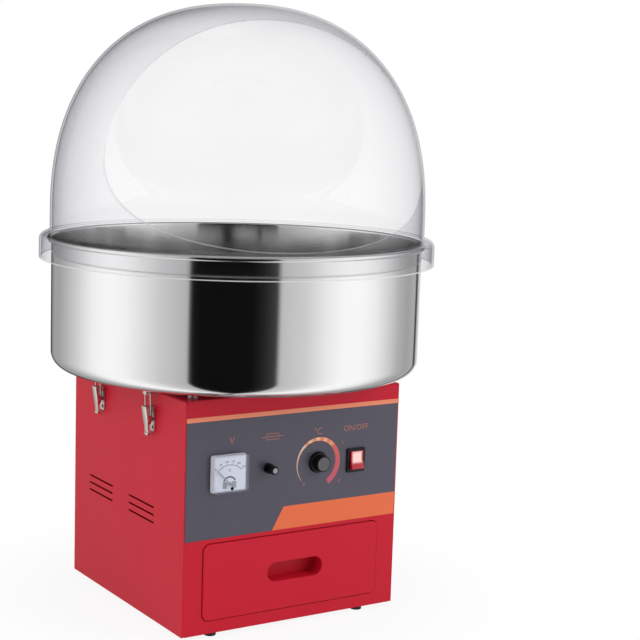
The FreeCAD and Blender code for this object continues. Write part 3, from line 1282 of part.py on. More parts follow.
def make_control_knob():
    """A skirted knob with a fluted grip, hollow behind for the bushing."""
    back = FASCIA_FRONT - RUNNING_GAP
    seat, outward = VEC(KNOB_X, back, KNOB_Z), VEC(0, -1, 0)
    foot = KNOB_GRIP_RADIUS + KNOB_DRAFT
    skirt_face = KNOB_SKIRT_RADIUS - 2 * KNOB_DRAFT
    skirt = Part.makeCone(KNOB_SKIRT_RADIUS, skirt_face, KNOB_SKIRT_DEPTH, seat, outward)
    grip = Part.makeCone(foot, KNOB_GRIP_RADIUS, KNOB_DEPTH, seat, outward)
    flute = rod(KNOB_FLUTE_RADIUS, (KNOB_X + foot, back - KNOB_SKIRT_DEPTH, KNOB_Z),
                (KNOB_X + KNOB_GRIP_RADIUS, knob_face() - 1, KNOB_Z))
    flutes = around(flute, KNOB_FLUTES, VEC(0, 1, 0), VEC(KNOB_X, 0, KNOB_Z))
    hollow = rod(POT_BUSHING_RADIUS + RUNNING_GAP, (KNOB_X, back + 1, KNOB_Z), (KNOB_X, back - 1.5, KNOB_Z))
    bore = rod(POT_SHAFT_RADIUS, (KNOB_X, back + 1, KNOB_Z), (KNOB_X, knob_face() + KNOB_CAP, KNOB_Z))
    return join([skirt, grip.cut(flutes)]).cut([hollow, bore])


def make_potentiometer_shaft():
    """The control's shaft, from inside its body to the knob."""
    front, rear = knob_face() + KNOB_CAP, PANEL_BACK + POT_BODY_DEPTH - 2 * SHEET
    return rod(POT_SHAFT_RADIUS, (KNOB_X, front, KNOB_Z), (KNOB_X, rear, KNOB_Z))


def make_switch_housing():
    """Bezel on the panel, body behind it, and the well that the rocker tips in."""
    half, rise = SWITCH_WIDTH / 2, SWITCH_HEIGHT / 2
    front = FASCIA_FRONT - SWITCH_BEZEL_DEPTH
    rear = PANEL_BACK + SWITCH_BODY_DEPTH
    bezel = front_plate(SWITCH_X - half, SWITCH_X + half, SWITCH_Z - rise, SWITCH_Z + rise, SWITCH_BEZEL_LIP,
                        front, FASCIA_FRONT)
    body = box(SWITCH_X - half + SWITCH_BEZEL_LIP, SWITCH_X + half - SWITCH_BEZEL_LIP, FASCIA_FRONT, rear,
               SWITCH_Z - rise + SWITCH_BEZEL_LIP, SWITCH_Z + rise - SWITCH_BEZEL_LIP)
    well_x = ROCKER_WIDTH / 2 + 2 * RUNNING_GAP
    well_z = ROCKER_HEIGHT / 2 + 2 * RUNNING_GAP
    well = box(SWITCH_X - well_x, SWITCH_X + well_x, front - 1, PANEL_BACK + SWITCH_WELL_DEPTH,
               SWITCH_Z - well_z, SWITCH_Z + well_z)
    pin = rod(ROCKER_PIVOT_RADIUS, (SWITCH_X - half + 1, ROCKER_PIVOT_Y, SWITCH_Z),
              (SWITCH_X + half - 1, ROCKER_PIVOT_Y, SWITCH_Z))
    return join([join([bezel, body]).cut(well), pin])


def make_rocker():
    """The rocker, a shallow V in section, tipped to the on side."""
    half, rise = ROCKER_WIDTH / 2, ROCKER_HEIGHT / 2
    middle_y = ROCKER_PIVOT_Y - ROCKER_RIDGE
    end_y = middle_y - rise * math.tan(math.radians(ROCKER_THROW)) * 0.9
    back_y = ROCKER_PIVOT_Y + ROCKER_BACK
    outline = [(end_y, -rise), (middle_y, 0), (end_y, rise), (ROCKER_PIVOT_Y, rise), (back_y, rise / 3),
               (back_y, -rise / 3), (ROCKER_PIVOT_Y, -rise)]
    points = [VEC(SWITCH_X - half, y, SWITCH_Z + z) for y, z in outline + outline[:1]]
    body = Part.Face(Part.makePolygon(points)).extrude(VEC(ROCKER_WIDTH, 0, 0))
    bore = rod(ROCKER_PIVOT_RADIUS + PIVOT_CLEARANCE, (SWITCH_X - half - 1, ROCKER_PIVOT_Y, SWITCH_Z),
               (SWITCH_X + half + 1, ROCKER_PIVOT_Y, SWITCH_Z))
    rocker = body.cut(bore)
    rocker.rotate(VEC(SWITCH_X, ROCKER_PIVOT_Y, SWITCH_Z), VEC(1, 0, 0), -ROCKER_THROW)
    return rocker


# Electrics behind the panels

def board_face():
    """Inner face of the control board, out from the middle of the cabinet."""
    return HALF_WIDTH - SHEET - BOARD_STANDOFF - BOARD_THICKNESS


def control_board():
    """The speed and heat control board on the right side, with its larger parts."""
    x = board_face()
    half, rise = BOARD_LENGTH / 2, BOARD_HEIGHT / 2
    board = box(x, x + BOARD_THICKNESS, -half, half, BOARD_CENTRE_Z - rise, BOARD_CENTRE_Z + rise)
    choke_y, choke_z = half - CHOKE_EDGE, BOARD_CENTRE_Z + CHOKE_RISE
    choke = rod(CHOKE_RADIUS, (x, choke_y, choke_z), (x - CHOKE_DEPTH, choke_y, choke_z))
    end, bottom = half - CAPACITOR_EDGE, BOARD_CENTRE_Z - rise + CAPACITOR_LIFT
    capacitor = box(x - CAPACITOR_DEPTH, x, end - CAPACITOR_LENGTH, end, bottom, bottom + CAPACITOR_HEIGHT)
    back = x + BOARD_THICKNESS + 1
    holes = [rod(BOARD_NECK_RADIUS, (x - 1, y, z), (back, y, z)) for y, z in board_post_places()]
    return join([board, heat_sink(x), choke, capacitor]).cut(holes)


def heat_sink(face):
    """The grooved heat sink on the board."""
    start = -BOARD_LENGTH / 2 + SINK_EDGE
    low, high = BOARD_CENTRE_Z - SINK_HEIGHT / 2, BOARD_CENTRE_Z + SINK_HEIGHT / 2
    block = box(face - SINK_DEPTH, face, start, start + SINK_LENGTH, low, high)
    grooves = []
    for index in range(SINK_GROOVES):
        y0 = start + SINK_GROOVE_WIDTH + SINK_GROOVE_PITCH * index
        y1 = y0 + SINK_GROOVE_WIDTH
        grooves.append(box(face - SINK_DEPTH - 1, face - SINK_BASE, y0, y1, low - 1, high + 1))
    return block.cut(grooves)


def board_post_places():
    """Depth and height of the board's four standoffs."""
    half, rise = BOARD_LENGTH / 2 - BOARD_POST_INSET, BOARD_HEIGHT / 2 - BOARD_POST_INSET
    return [(sy * half, BOARD_CENTRE_Z + sz * rise) for sy in (-1, 1) for sz in (-1, 1)]


def board_standoffs():
    """Nylon standoffs between the board and the cabinet's side, with snap heads."""
    wall = HALF_WIDTH - SHEET
    x = board_face()
    posts = []
    for y, z in board_post_places():
        post = rod(BOARD_POST_RADIUS, (x + BOARD_THICKNESS, y, z), (wall, y, z))
        neck = rod(BOARD_NECK_RADIUS, (x, y, z), (x + BOARD_THICKNESS, y, z))
        posts.append(join([post, neck, rod(BOARD_SNAP_RADIUS, (x - BOARD_SNAP_HEIGHT, y, z), (x, y, z))]))
    return posts


def make_cable_gland():
    """The gland's body through the back panel, bored for the mains lead."""
    shoulder, end = HALF_DEPTH + GLAND_FLANGE, HALF_DEPTH - SHEET - GLAND_INSIDE
    flange = rod(GLAND_FLANGE_RADIUS, (GLAND_X, HALF_DEPTH, GLAND_Z), (GLAND_X, shoulder, GLAND_Z))
    dome = Part.makeCone(GLAND_FLANGE_RADIUS - 1.5, GLAND_THREAD_RADIUS - 1, GLAND_OUTSIDE - GLAND_FLANGE,
                         VEC(GLAND_X, shoulder, GLAND_Z), VEC(0, 1, 0))
    thread = rod(GLAND_THREAD_RADIUS, (GLAND_X, end, GLAND_Z), (GLAND_X, HALF_DEPTH, GLAND_Z))
    bore = rod(GLAND_BORE_RADIUS, (GLAND_X, HALF_DEPTH - 30, GLAND_Z), (GLAND_X, HALF_DEPTH + 30, GLAND_Z))
    return join([flange, dome, thread]).cut(bore)


def make_gland_nut():
    """The hexagon nut on the inside of the back panel."""
    across = 1.5 * GLAND_THREAD_RADIUS
    front = HALF_DEPTH - SHEET - GLAND_NUT
    corners = [VEC(GLAND_X + across * math.cos(math.radians(60 * index)), front,
                   GLAND_Z + across * math.sin(math.radians(60 * index))) for index in range(6)]
    blank = Part.Face(Part.makePolygon(corners + corners[:1])).extrude(VEC(0, GLAND_NUT, 0))
    bore = rod(GLAND_THREAD_RADIUS, (GLAND_X, front - 1, GLAND_Z), (GLAND_X, HALF_DEPTH, GLAND_Z))
    return blank.cut(bore)


def build():
    """Every node by name."""
    nodes = {
        "cabinet_shell": make_cabinet_shell(),
        "base_plate": make_base_plate(),
        "front_panel": make_front_panel(),
        "control_fascia": make_control_fascia(),
        "back_panel": make_back_panel(),
        "cabinet_screws": group(back_panel_screws() + foot_screws()),
        "rubber_feet": make_rubber_feet(),
        "drawer_front": make_drawer_front(),
        "drawer_tray": make_drawer_tray(),
        "drawer_pull_pocket": make_drawer_pull_pocket(),
        "drawer_runners": make_drawer_runners(),
        "bowl": make_bowl(),
        "bowl_support_posts": make_bowl_support_posts(),
        "bowl_keepers": make_bowl_keepers(),
        "dome_cover": make_dome_cover(),
        "latch_bases": make_latch_bases(),
        "latch_rivets": group(latch_rivets() + latch_pins() + keeper_rivets()),
        "motor_caps": make_motor_caps(),
        "motor_stator": make_motor_stator(),
        "motor_rotor": make_motor_rotor(),
        "motor_bearings": make_motor_bearings(),
        "motor_standoffs": make_motor_standoffs(),
        "motor_shaft": make_motor_shaft(),
        "cooling_fan": make_cooling_fan(),
        "slip_ring_carrier": make_slip_ring_carrier(),
        "slip_rings": make_slip_rings(),
        "brush_lower": make_brush(0),
        "brush_upper": make_brush(1),
        "brush_holder": make_brush_holder(),
        "brush_terminals": make_brush_terminals(),
        "head_base": make_head_base(),
        "heater_posts": make_heater_posts(),
        "heater_ribbon": make_heater_ribbon(),
        "perforated_band": make_perforated_band(),
        "head_cover": make_head_cover(),
        "head_fasteners": group(head_screws() + [head_nut()]),
        "meter_case": make_meter_case(),
        "meter_dial": make_meter_dial(),
        "meter_cover": make_meter_cover(),
        "meter_needle": make_meter_needle(),
        "meter_zero_screw": make_meter_zero_screw(),
        "fuse_holder": make_fuse_holder(),
        "fuse_cap": make_fuse_cap(),
        "fuse_link": make_fuse_link(),
        "potentiometer": make_potentiometer(),
        "potentiometer_shaft": make_potentiometer_shaft(),
        "control_knob": make_control_knob(),
        "switch_housing": make_switch_housing(),
        "switch_rocker": make_rocker(),
        "control_board": group([control_board()] + board_standoffs()),
        "cable_gland": make_cable_gland(),
        "gland_nut": make_gland_nut(),
    }
    for name, side, y in latch_places():
        nodes["latch_lever_" + name] = on_side(latch_lever(), side, y)
        nodes["latch_bail_" + name] = on_side(latch_bail(), side, y)
    return nodes


os.makedirs("parts", exist_ok=True)
for node, shape in build().items():
    shape.exportStep("parts/" + node + ".step")
    print(node, "valid" if shape.isValid() else "INVALID", len(shape.Solids), round(shape.Volume))
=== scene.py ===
"""Looks of a table-top cotton candy machine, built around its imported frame.

Named sizes are in millimetres and named angles in degrees; meshes are in metres, as the frame's are.
"""

import logging
import math
from collections.abc import Sequence
from dataclasses import dataclass
from enum import Enum, StrEnum

import bpy
from mathutils import Matrix, Quaternion, Vector


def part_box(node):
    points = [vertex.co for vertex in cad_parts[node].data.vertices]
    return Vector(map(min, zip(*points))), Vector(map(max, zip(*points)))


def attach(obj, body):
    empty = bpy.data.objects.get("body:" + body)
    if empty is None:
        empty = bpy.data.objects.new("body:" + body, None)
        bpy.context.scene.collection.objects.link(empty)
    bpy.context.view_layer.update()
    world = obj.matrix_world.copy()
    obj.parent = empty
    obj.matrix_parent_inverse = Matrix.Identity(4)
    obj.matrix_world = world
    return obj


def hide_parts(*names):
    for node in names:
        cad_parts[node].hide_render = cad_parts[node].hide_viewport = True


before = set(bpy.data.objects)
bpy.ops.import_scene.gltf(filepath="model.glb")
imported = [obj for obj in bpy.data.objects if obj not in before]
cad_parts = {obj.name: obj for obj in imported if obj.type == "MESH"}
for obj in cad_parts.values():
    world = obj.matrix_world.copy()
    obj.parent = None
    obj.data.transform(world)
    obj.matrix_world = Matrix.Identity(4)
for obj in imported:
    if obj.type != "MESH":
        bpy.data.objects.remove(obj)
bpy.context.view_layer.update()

LOG = logging.getLogger("cotton_candy_machine")
MM = 0.001
PER_MM = 1000.0
MERGE_MM = 0.0005
SMOOTH_ANGLE = math.radians(32)
FLAT_ANGLE = math.radians(0.6)
LETTER_STEPS = 4

Socket = bpy.types.NodeSocket
Tree = bpy.types.NodeTree
Piece = bpy.types.Object
Outline = Sequence[tuple[float, float]]


class Slot(StrEnum):
    """Names of the record's material slots; each new piece is given one, which nothing here reads."""

    ALUMINIUM = "cast_aluminium"
    CLEAR_ACRYLIC = "clear_acrylic"
    CLEAR_PLASTIC = "clear_plastic"
    BLACK_PLASTIC = "black_plastic"
    BLACK_RUBBER = "black_rubber"
    DIAL_WHITE = "dial_white"
    FASCIA_PRINT = "fascia_print"
    NICKEL = "nickel"
    RED_LENS = "red_lens"
    STAINLESS = "stainless"
    WHITE_PLASTIC = "white_plastic"
    ZINC_STEEL = "zinc_steel"


class Corner(Enum):
    """The cabinet's corners, as the latches' names say them."""

    FRONT_LEFT = "front_left"
    BACK_LEFT = "back_left"
    FRONT_RIGHT = "front_right"
    BACK_RIGHT = "back_right"


def linear(colour: str) -> tuple[float, float, float, float]:
    """Turns an sRGB hex colour into linear light.

    Args:
        colour: six hex digits after a hash.

    Returns:
        Red, green, blue and a full alpha.
    """
    parts = [int(colour[at:at + 2], 16) / 255 for at in (1, 3, 5)]
    red, green, blue = (
        part / 12.92 if part <= 0.04045 else ((part + 0.055) / 1.055) ** 2.4 for part in parts
    )
    return red, green, blue, 1.0


def add_node(tree: Tree, kind: str, inputs: dict | None = None, **settings: object) -> Socket:
    """Adds one node with its settings and links.

    Args:
        tree: the node tree that gets it.
        kind: the node's type name.
        inputs: value or output socket for each input, by the input's name or number.
        settings: attributes of the node, set before its inputs.

    Returns:
        The node's first output in use, or its first input where it has no output.
    """
    node = tree.nodes.new(kind)
    for name, value in settings.items():
        setattr(node, name, value)
    for key, value in (inputs or {}).items():
        if isinstance(value, bpy.types.NodeSocket):
            tree.links.new(value, node.inputs[key])
        else:
            node.inputs[key].default_value = value
    used = [socket for socket in node.outputs if socket.enabled]
    return used[0] if used else node.inputs[0]


# Finishes


@dataclass(frozen=True)
class Finish:
    """A finish with two close tones in soft patches and a fine grain in its surface."""

    name: str = "finish"
    colour: str = "#808080"
    patch_colour: str = "#7A7A7A"
    patch_mm: float = 45.0
    roughness: float = 0.4
    metallic: float = 0.0
    grain_mm: float = 1.2
    grain_depth_mm: float = 0.004

    def tone(self, tree: Tree, place: Socket) -> Socket:
        """Mixes the two tones.

        Args:
            tree: the material's node tree.
            place: the object's own coordinates.

        Returns:
            The colour.
        """
        patches = add_node(
            tree, "ShaderNodeTexNoise", {"Vector": place, "Scale": PER_MM / self.patch_mm, "Detail": 3.0},
        )
        return add_node(
            tree, "ShaderNodeMix", {0: patches, 6: linear(self.colour), 7: linear(self.patch_colour)},
            data_type="RGBA",
        )

    def relief(self, tree: Tree, place: Socket) -> Socket:
        """Makes the fine grain.

        Args:
            tree: the material's node tree.
            place: the object's own coordinates.

        Returns:
            The bent normal.
        """
        grain = add_node(
            tree, "ShaderNodeTexNoise", {"Vector": place, "Scale": PER_MM / self.grain_mm, "Detail": 2.0},
        )
        return add_node(
            tree, "ShaderNodeBump", {"Height": grain, "Strength": 1.0, "Distance": self.grain_depth_mm * MM},
        )

    def settings(self) -> dict:
        """Constants for the shader's own sockets."""
        return {"Roughness": self.roughness, "Metallic": self.metallic}

    def shade(self, tree: Tree, place: Socket) -> Socket:
        """Makes the surface.

        Args:
            tree: the material's node tree.
            place: the object's own coordinates.

        Returns:
            The shader.
        """
        inputs = {"Base Color": self.tone(tree, place), "Normal": self.relief(tree, place), **self.settings()}
        return add_node(tree, "ShaderNodeBsdfPrincipled", inputs)

    def material(self) -> bpy.types.Material:
        """Gives the finish's material, which is made once."""
        found = bpy.data.materials.get(self.name)
        if found:
            return found
        made = bpy.data.materials.new(self.name)
        made.use_nodes = True
        tree = made.node_tree
        tree.nodes.clear()
        place = tree.nodes.new("ShaderNodeTexCoord").outputs["Object"]
        shader = self.shade(tree, place)
        add_node(tree, "ShaderNodeOutputMaterial", {"Surface": shader})
        return made


@dataclass(frozen=True)
class PowderCoat(Finish):
    """Polyester powder coat baked on steel: strong even colour, satin gloss, a fine orange-peel ripple."""

    name: str = "red_powder_coat"
    colour: str = "#CF1932"
    patch_colour: str = "#C9162E"
    patch_mm: float = 120.0
    roughness: float = 0.42
    specular: float = 0.2
    grain_mm: float = 1.8
    grain_depth_mm: float = 0.006

    def settings(self) -> dict:
        """Constants for the shader's own sockets."""
        return {"Roughness": self.roughness, "Specular IOR Level": self.specular}


@dataclass(frozen=True)
class Stainless(Finish):
    """Stainless steel, spun and polished: a mirror with faint rings from the lathe."""

    name: str = "polished_stainless"
    colour: str = "#DEDDDD"
    patch_colour: str = "#D9D8D8"
    patch_mm: float = 90.0
    roughness: float = 0.11
    metallic: float = 1.0
    stretch: float = 0.85
    stretch_turn: float = 0.25
    ring_mm: float = 0.9
    ring_depth_mm: float = 0.0004

    def settings(self) -> dict:
        """Constants for the shader's own sockets."""
        return {
            "Roughness": self.roughness, "Metallic": self.metallic, "Anisotropic": self.stretch,
            "Anisotropic Rotation": self.stretch_turn,
        }

    def shade(self, tree: Tree, place: Socket) -> Socket:
        """Makes the mirror, blurred up and down by the rings.

        Args:
            tree: the material's node tree.
            place: the object's own coordinates.

        Returns:
            The shader.
        """
        shader = Finish.shade(self, tree, place)
        round_axis = add_node(tree, "ShaderNodeTangent", direction_type="RADIAL", axis="Z")
        tree.links.new(round_axis, shader.node.inputs["Tangent"])
        return shader

    def relief(self, tree: Tree, place: Socket) -> Socket:
        """Makes the faint rings.

        Args:
            tree: the material's node tree.
            place: the object's own coordinates.

        Returns:
            The bent normal.
        """
        squeezed = add_node(
            tree, "ShaderNodeMapping", {"Vector": place, "Scale": (1.0, 1.0, PER_MM / self.ring_mm)},
        )
        rings = add_node(tree, "ShaderNodeTexNoise", {"Vector": squeezed, "Scale": 1.0, "Detail": 3.0})
        return add_node(
            tree, "ShaderNodeBump", {"Height": rings, "Strength": 1.0, "Distance": self.ring_depth_mm * MM},
        )


@dataclass(frozen=True)
class BareMetal(Finish):
    """A bare or plated metal part with a fine tooth."""

    roughness: float = 0.28
    metallic: float = 1.0
    grain_mm: float = 0.6
    grain_depth_mm: float = 0.002


@dataclass(frozen=True)
class MouldedPlastic(Finish):
    """A moulded plastic or rubber part with a fine tool texture."""

    specular: float = 0.5
    grain_mm: float = 0.9
    grain_depth_mm: float = 0.003

    def settings(self) -> dict:
        """Constants for the shader's own sockets."""
        return {"Roughness": self.roughness, "Specular IOR Level": self.specular}


@dataclass(frozen=True)
class ClearAcrylic(Finish):
    """Cast acrylic, blown and polished: clear face on, a mirror and slightly grey at a slant."""

    name: str = "blown_clear_acrylic"
    colour: str = "#FEFEFE"
    patch_colour: str = "#FCFCFD"
    patch_mm: float = 260.0
    roughness: float = 0.0
    edge_colour: str = "#E2E2E5"
    edge_power: float = 2.6
    reflection: float = 0.035
    mirror_power: float = 6.5
    edge_mirror: float = 0.5
    grain_mm: float = 160.0
    grain_depth_mm: float = 0.02

    def shade(self, tree: Tree, place: Socket) -> Socket:
        """Makes the clear surface, which lets light pass straight to what it covers.

        Args:
            tree: the material's node tree.
            place: the object's own coordinates.

        Returns:
            The shader.
        """
        layer = tree.nodes.new("ShaderNodeLayerWeight")
        layer.inputs["Blend"].default_value = 0.5
        slant = layer.outputs["Facing"]
        depth = add_node(tree, "ShaderNodeMath", {0: slant, 1: self.edge_power}, operation="POWER")
        tint = add_node(
            tree, "ShaderNodeMix", {0: depth, 6: self.tone(tree, place), 7: linear(self.edge_colour)},
            data_type="RGBA",
        )
        body = add_node(tree, "ShaderNodeBsdfTransparent", {"Color": tint})
        gloss = add_node(
            tree, "ShaderNodeBsdfAnisotropic",
            {"Roughness": self.roughness, "Normal": self.relief(tree, place)},
        )
        steep = add_node(tree, "ShaderNodeMath", {0: slant, 1: self.mirror_power}, operation="POWER")
        share = add_node(
            tree, "ShaderNodeMath", {0: steep, 1: self.edge_mirror - self.reflection, 2: self.reflection},
            operation="MULTIPLY_ADD",
        )
        return add_node(tree, "ShaderNodeMixShader", {0: share, 1: body, 2: gloss})


@dataclass(frozen=True)
class PaintedEdgeGlow(Finish):
    """The sawn and flame-polished edge of acrylic sheet, which gathers light and looks white; that gathered
    light is painted here as a white share over the clear edge.
    """

    name: str = "acrylic_edge_painted_glow"
    colour: str = "#F4F5F7"
    patch_colour: str = "#E8E9ED"
    patch_mm: float = 12.0
    roughness: float = 0.35
    # Share of the edge painted white, standing for the light the sheet gathers.
    painted_glow_share: float = 0.5

    def shade(self, tree: Tree, place: Socket) -> Socket:
        """Makes the edge, partly clear and partly painted white light.

        Args:
            tree: the material's node tree.
            place: the object's own coordinates.

        Returns:
            The shader.
        """
        clear = add_node(tree, "ShaderNodeBsdfTransparent")
        white = Finish.shade(self, tree, place)
        return add_node(tree, "ShaderNodeMixShader", {0: self.painted_glow_share, 1: clear, 2: white})


@dataclass(frozen=True)
class LitLens(Finish):
    """Translucent red polycarbonate over a lamp: pale and bright in the middle, deep red at the edges."""

    name: str = "lit_red_lens"
    colour: str = "#C81E2C"
    patch_colour: str = "#B01524"
    patch_mm: float = 30.0
    roughness: float = 0.18
    glow_colour: str = "#EFC4BB"
    glow: float = 0.34
    centre_mm: tuple[float, float, float] = (98.75, -170.5, 225.5)
    half_mm: tuple[float, float, float] = (9.5, 100.0, 9.5)
    glow_core: float = 0.55

    def shade(self, tree: Tree, place: Socket) -> Socket:
        """Makes the lens with the lamp's glow behind it.

        Args:
            tree: the material's node tree.
            place: the object's own coordinates.

        Returns:
            The shader.
        """
        centre = tuple(value * MM for value in self.centre_mm)
        half = tuple(value * MM for value in self.half_mm)
        offset = add_node(tree, "ShaderNodeVectorMath", {0: place, 1: centre}, operation="SUBTRACT")
        shares = add_node(tree, "ShaderNodeVectorMath", {0: offset, 1: half}, operation="DIVIDE")
        sides = add_node(tree, "ShaderNodeVectorMath", {0: shares}, operation="ABSOLUTE")
        axes = tree.nodes.new("ShaderNodeSeparateXYZ")
        tree.links.new(sides, axes.inputs[0])
        reach = add_node(
            tree, "ShaderNodeMath", {0: axes.outputs["X"], 1: axes.outputs["Z"]}, operation="MAXIMUM",
        )
        fade = add_node(
            tree, "ShaderNodeMapRange", {0: reach, 1: self.glow_core, 2: 1.0, 3: 1.0, 4: 0.0},
            interpolation_type="SMOOTHSTEP",
        )
        base = add_node(
            tree, "ShaderNodeMix", {0: fade, 6: self.tone(tree, place), 7: linear(self.glow_colour)},
            data_type="RGBA",
        )
        strength = add_node(tree, "ShaderNodeMath", {0: fade, 1: self.glow}, operation="MULTIPLY")
        return add_node(
            tree, "ShaderNodeBsdfPrincipled",
            {
                "Base Color": base, "Roughness": self.roughness, "Normal": self.relief(tree, place),
                "Emission Color": linear(self.glow_colour), "Emission Strength": strength,
            },
        )


@dataclass(frozen=True)
class PrintedFilm(Finish):
    """Screen-printed polyester film: a grey field, orange stripe and band, and a wedge-shaped heat scale."""

    name: str = "printed_fascia_film"
    colour: str = "#444150"
    patch_colour: str = "#4A4757"
    patch_mm: float = 70.0
    roughness: float = 0.34
    grain_mm: float = 0.7
    grain_depth_mm: float = 0.003
    orange: str = "#EC6A36"
    # The stripe is the band's orange ink; its lighter, pinker tone is painted sheen, which also lifts it out
    # of the bowl's shadow.
    stripe_orange_painted_sheen: str = "#F58B66"
    stripe_z: float = 295.5
    band_z: float = 168.0
    band_start: float = -34.0
    band_slope: float = 0.565
    band_bottom: float = 137.0
    scale_x: float = 37.7
    scale_z: float = 223.0
    scale_radius: float = 35.5
    scale_start: float = 220.0
    scale_end: float = -61.0
    scale_thin: float = 0.8
    scale_growth: float = 8.6
    scale_thick: float = 7.8
    scale_colours: tuple[tuple[float, str], ...] = (
        (0.0, "#B98F8C"), (0.18, "#D9A493"), (0.30, "#EBC7A8"), (0.345, "#E8764E"), (0.37, "#F2CBA2"),
        (0.42, "#E9774E"), (0.45, "#F2CBA2"), (0.49, "#EA6F4B"), (0.53, "#F0B98C"), (0.56, "#EA7350"),
        (0.60, "#E7A67C"), (0.635, "#D65C50"), (0.80, "#CE545C"), (1.0, "#C64C6A"),
    )

    def tone(self, tree: Tree, place: Socket) -> Socket:
        """Prints the field, the stripe, the band and the heat scale.

        Args:
            tree: the material's node tree.
            place: the object's own coordinates.

        Returns:
            The colour.
        """
        sheet = add_node(tree, "ShaderNodeVectorMath", {0: place, 1: (PER_MM,) * 3}, operation="MULTIPLY")
        axes = tree.nodes.new("ShaderNodeSeparateXYZ")
        tree.links.new(sheet, axes.inputs[0])
        x, z = axes.outputs["X"], axes.outputs["Z"]
        stripe = add_node(tree, "ShaderNodeMath", {0: z, 1: self.stripe_z}, operation="GREATER_THAN")
        low = add_node(tree, "ShaderNodeMath", {0: z, 1: self.band_z}, operation="LESS_THAN")
        edge = add_node(
            tree, "ShaderNodeMath",
            {0: z, 1: self.band_slope, 2: self.band_start - self.band_slope * self.band_bottom},
            operation="MULTIPLY_ADD",
        )
        right = add_node(tree, "ShaderNodeMath", {0: x, 1: edge}, operation="GREATER_THAN")
        band = add_node(tree, "ShaderNodeMath", {0: low, 1: right}, operation="MULTIPLY")
        field = Finish.tone(self, tree, place)
        banded = add_node(
            tree, "ShaderNodeMix", {0: band, 6: field, 7: linear(self.orange)}, data_type="RGBA",
        )
        # The stripe takes the lighter orange, a painted sheen over the band's ink.
        ground = add_node(
            tree, "ShaderNodeMix", {0: stripe, 6: banded, 7: linear(self.stripe_orange_painted_sheen)}, data_type="RGBA",
        )
        mask, travel = self.scale_mask(tree, x, z)
        ramp = tree.nodes.new("ShaderNodeValToRGB")
        ramp.color_ramp.interpolation = "LINEAR"
        stops = ramp.color_ramp.elements
        stops.remove(stops[-1])
        for index, (stop, colour) in enumerate(self.scale_colours):
            element = stops.new(stop) if index else stops[0]
            element.position = stop
            element.color = linear(colour)
        tree.links.new(travel, ramp.inputs[0])
        return add_node(
            tree, "ShaderNodeMix", {0: mask, 6: ground, 7: ramp.outputs["Color"]}, data_type="RGBA",
        )

    def scale_mask(self, tree: Tree, x: Socket, z: Socket) -> tuple[Socket, Socket]:
        """Draws the scale, which thickens clockwise.

        Args:
            tree: the material's node tree.
            x: millimetres across the sheet.
            z: millimetres up the sheet.

        Returns:
            The scale's mask, and how far along it a point is, from 0 to 1.
        """
        across = add_node(tree, "ShaderNodeMath", {0: x, 1: self.scale_x}, operation="SUBTRACT")
        up = add_node(tree, "ShaderNodeMath", {0: z, 1: self.scale_z}, operation="SUBTRACT")
        angle = add_node(tree, "ShaderNodeMath", {0: up, 1: across}, operation="ARCTAN2")
        degrees = add_node(tree, "ShaderNodeMath", {0: angle, 1: 180 / math.pi}, operation="MULTIPLY")
        wraps = add_node(tree, "ShaderNodeMath", {0: degrees, 1: self.scale_end}, operation="LESS_THAN")
        turned = add_node(tree, "ShaderNodeMath", {0: wraps, 1: 360.0, 2: degrees}, operation="MULTIPLY_ADD")
        span = self.scale_start - self.scale_end
        travel = add_node(
            tree, "ShaderNodeMath", {0: turned, 1: -1 / span, 2: self.scale_start / span},
            operation="MULTIPLY_ADD",
        )
        begun = add_node(tree, "ShaderNodeMath", {0: travel, 1: 0.0}, operation="GREATER_THAN")
        wide = add_node(
            tree, "ShaderNodeMath", {0: travel, 1: self.scale_growth, 2: self.scale_thin},
            operation="MULTIPLY_ADD",
        )
        capped = add_node(tree, "ShaderNodeMath", {0: wide, 1: self.scale_thick}, operation="MINIMUM")
        inner = add_node(tree, "ShaderNodeMath", {0: self.scale_radius, 1: capped}, operation="SUBTRACT")
        squares = [
            add_node(tree, "ShaderNodeMath", {0: side, 1: 2.0}, operation="POWER") for side in (across, up)
        ]
        total = add_node(tree, "ShaderNodeMath", {0: squares[0], 1: squares[1]}, operation="ADD")
        radius = add_node(tree, "ShaderNodeMath", {0: total}, operation="SQRT")
        outside = add_node(tree, "ShaderNodeMath", {0: radius, 1: inner}, operation="GREATER_THAN")
        inside = add_node(tree, "ShaderNodeMath", {0: radius, 1: self.scale_radius}, operation="LESS_THAN")
        ring = add_node(tree, "ShaderNodeMath", {0: outside, 1: inside}, operation="MULTIPLY")
        return add_node(tree, "ShaderNodeMath", {0: ring, 1: begun}, operation="MULTIPLY"), travel


RED_COAT = PowderCoat()
STAINLESS = Stainless()
ACRYLIC = ClearAcrylic()
EDGE_PAINTED_GLOW = PaintedEdgeGlow()
# Injection-moulded clear styrene: thinner and a little warmer than the dome.
STYRENE = ClearAcrylic(
    name="clear_styrene", colour="#FBFCFF", patch_colour="#F9FAFE", edge_colour="#E2E6EE", reflection=0.05,
    grain_mm=40.0,
)
LENS = LitLens()
FILM = PrintedFilm()
# Nickel plate on pressed steel: warm and bright, with small dull patches from the pressing.
NICKEL = BareMetal(name="nickel_plate", colour="#EEE8E0", patch_colour="#C2BBB3", patch_mm=7.0, roughness=0.3)
# Zinc plate: bluish grey, slightly cloudy.
ZINC = BareMetal(
    name="zinc_plated_steel", colour="#B9BCC0", patch_colour="#9FA3A9", patch_mm=12.0, roughness=0.34,
)
# Cast aluminium, turned after casting: pale grey with a soft grain.
CAST_ALUMINIUM = BareMetal(
    name="turned_aluminium_casting", colour="#C8C9CB", patch_colour="#B2B4B7", patch_mm=14.0, roughness=0.38,
    grain_depth_mm=0.008,
)
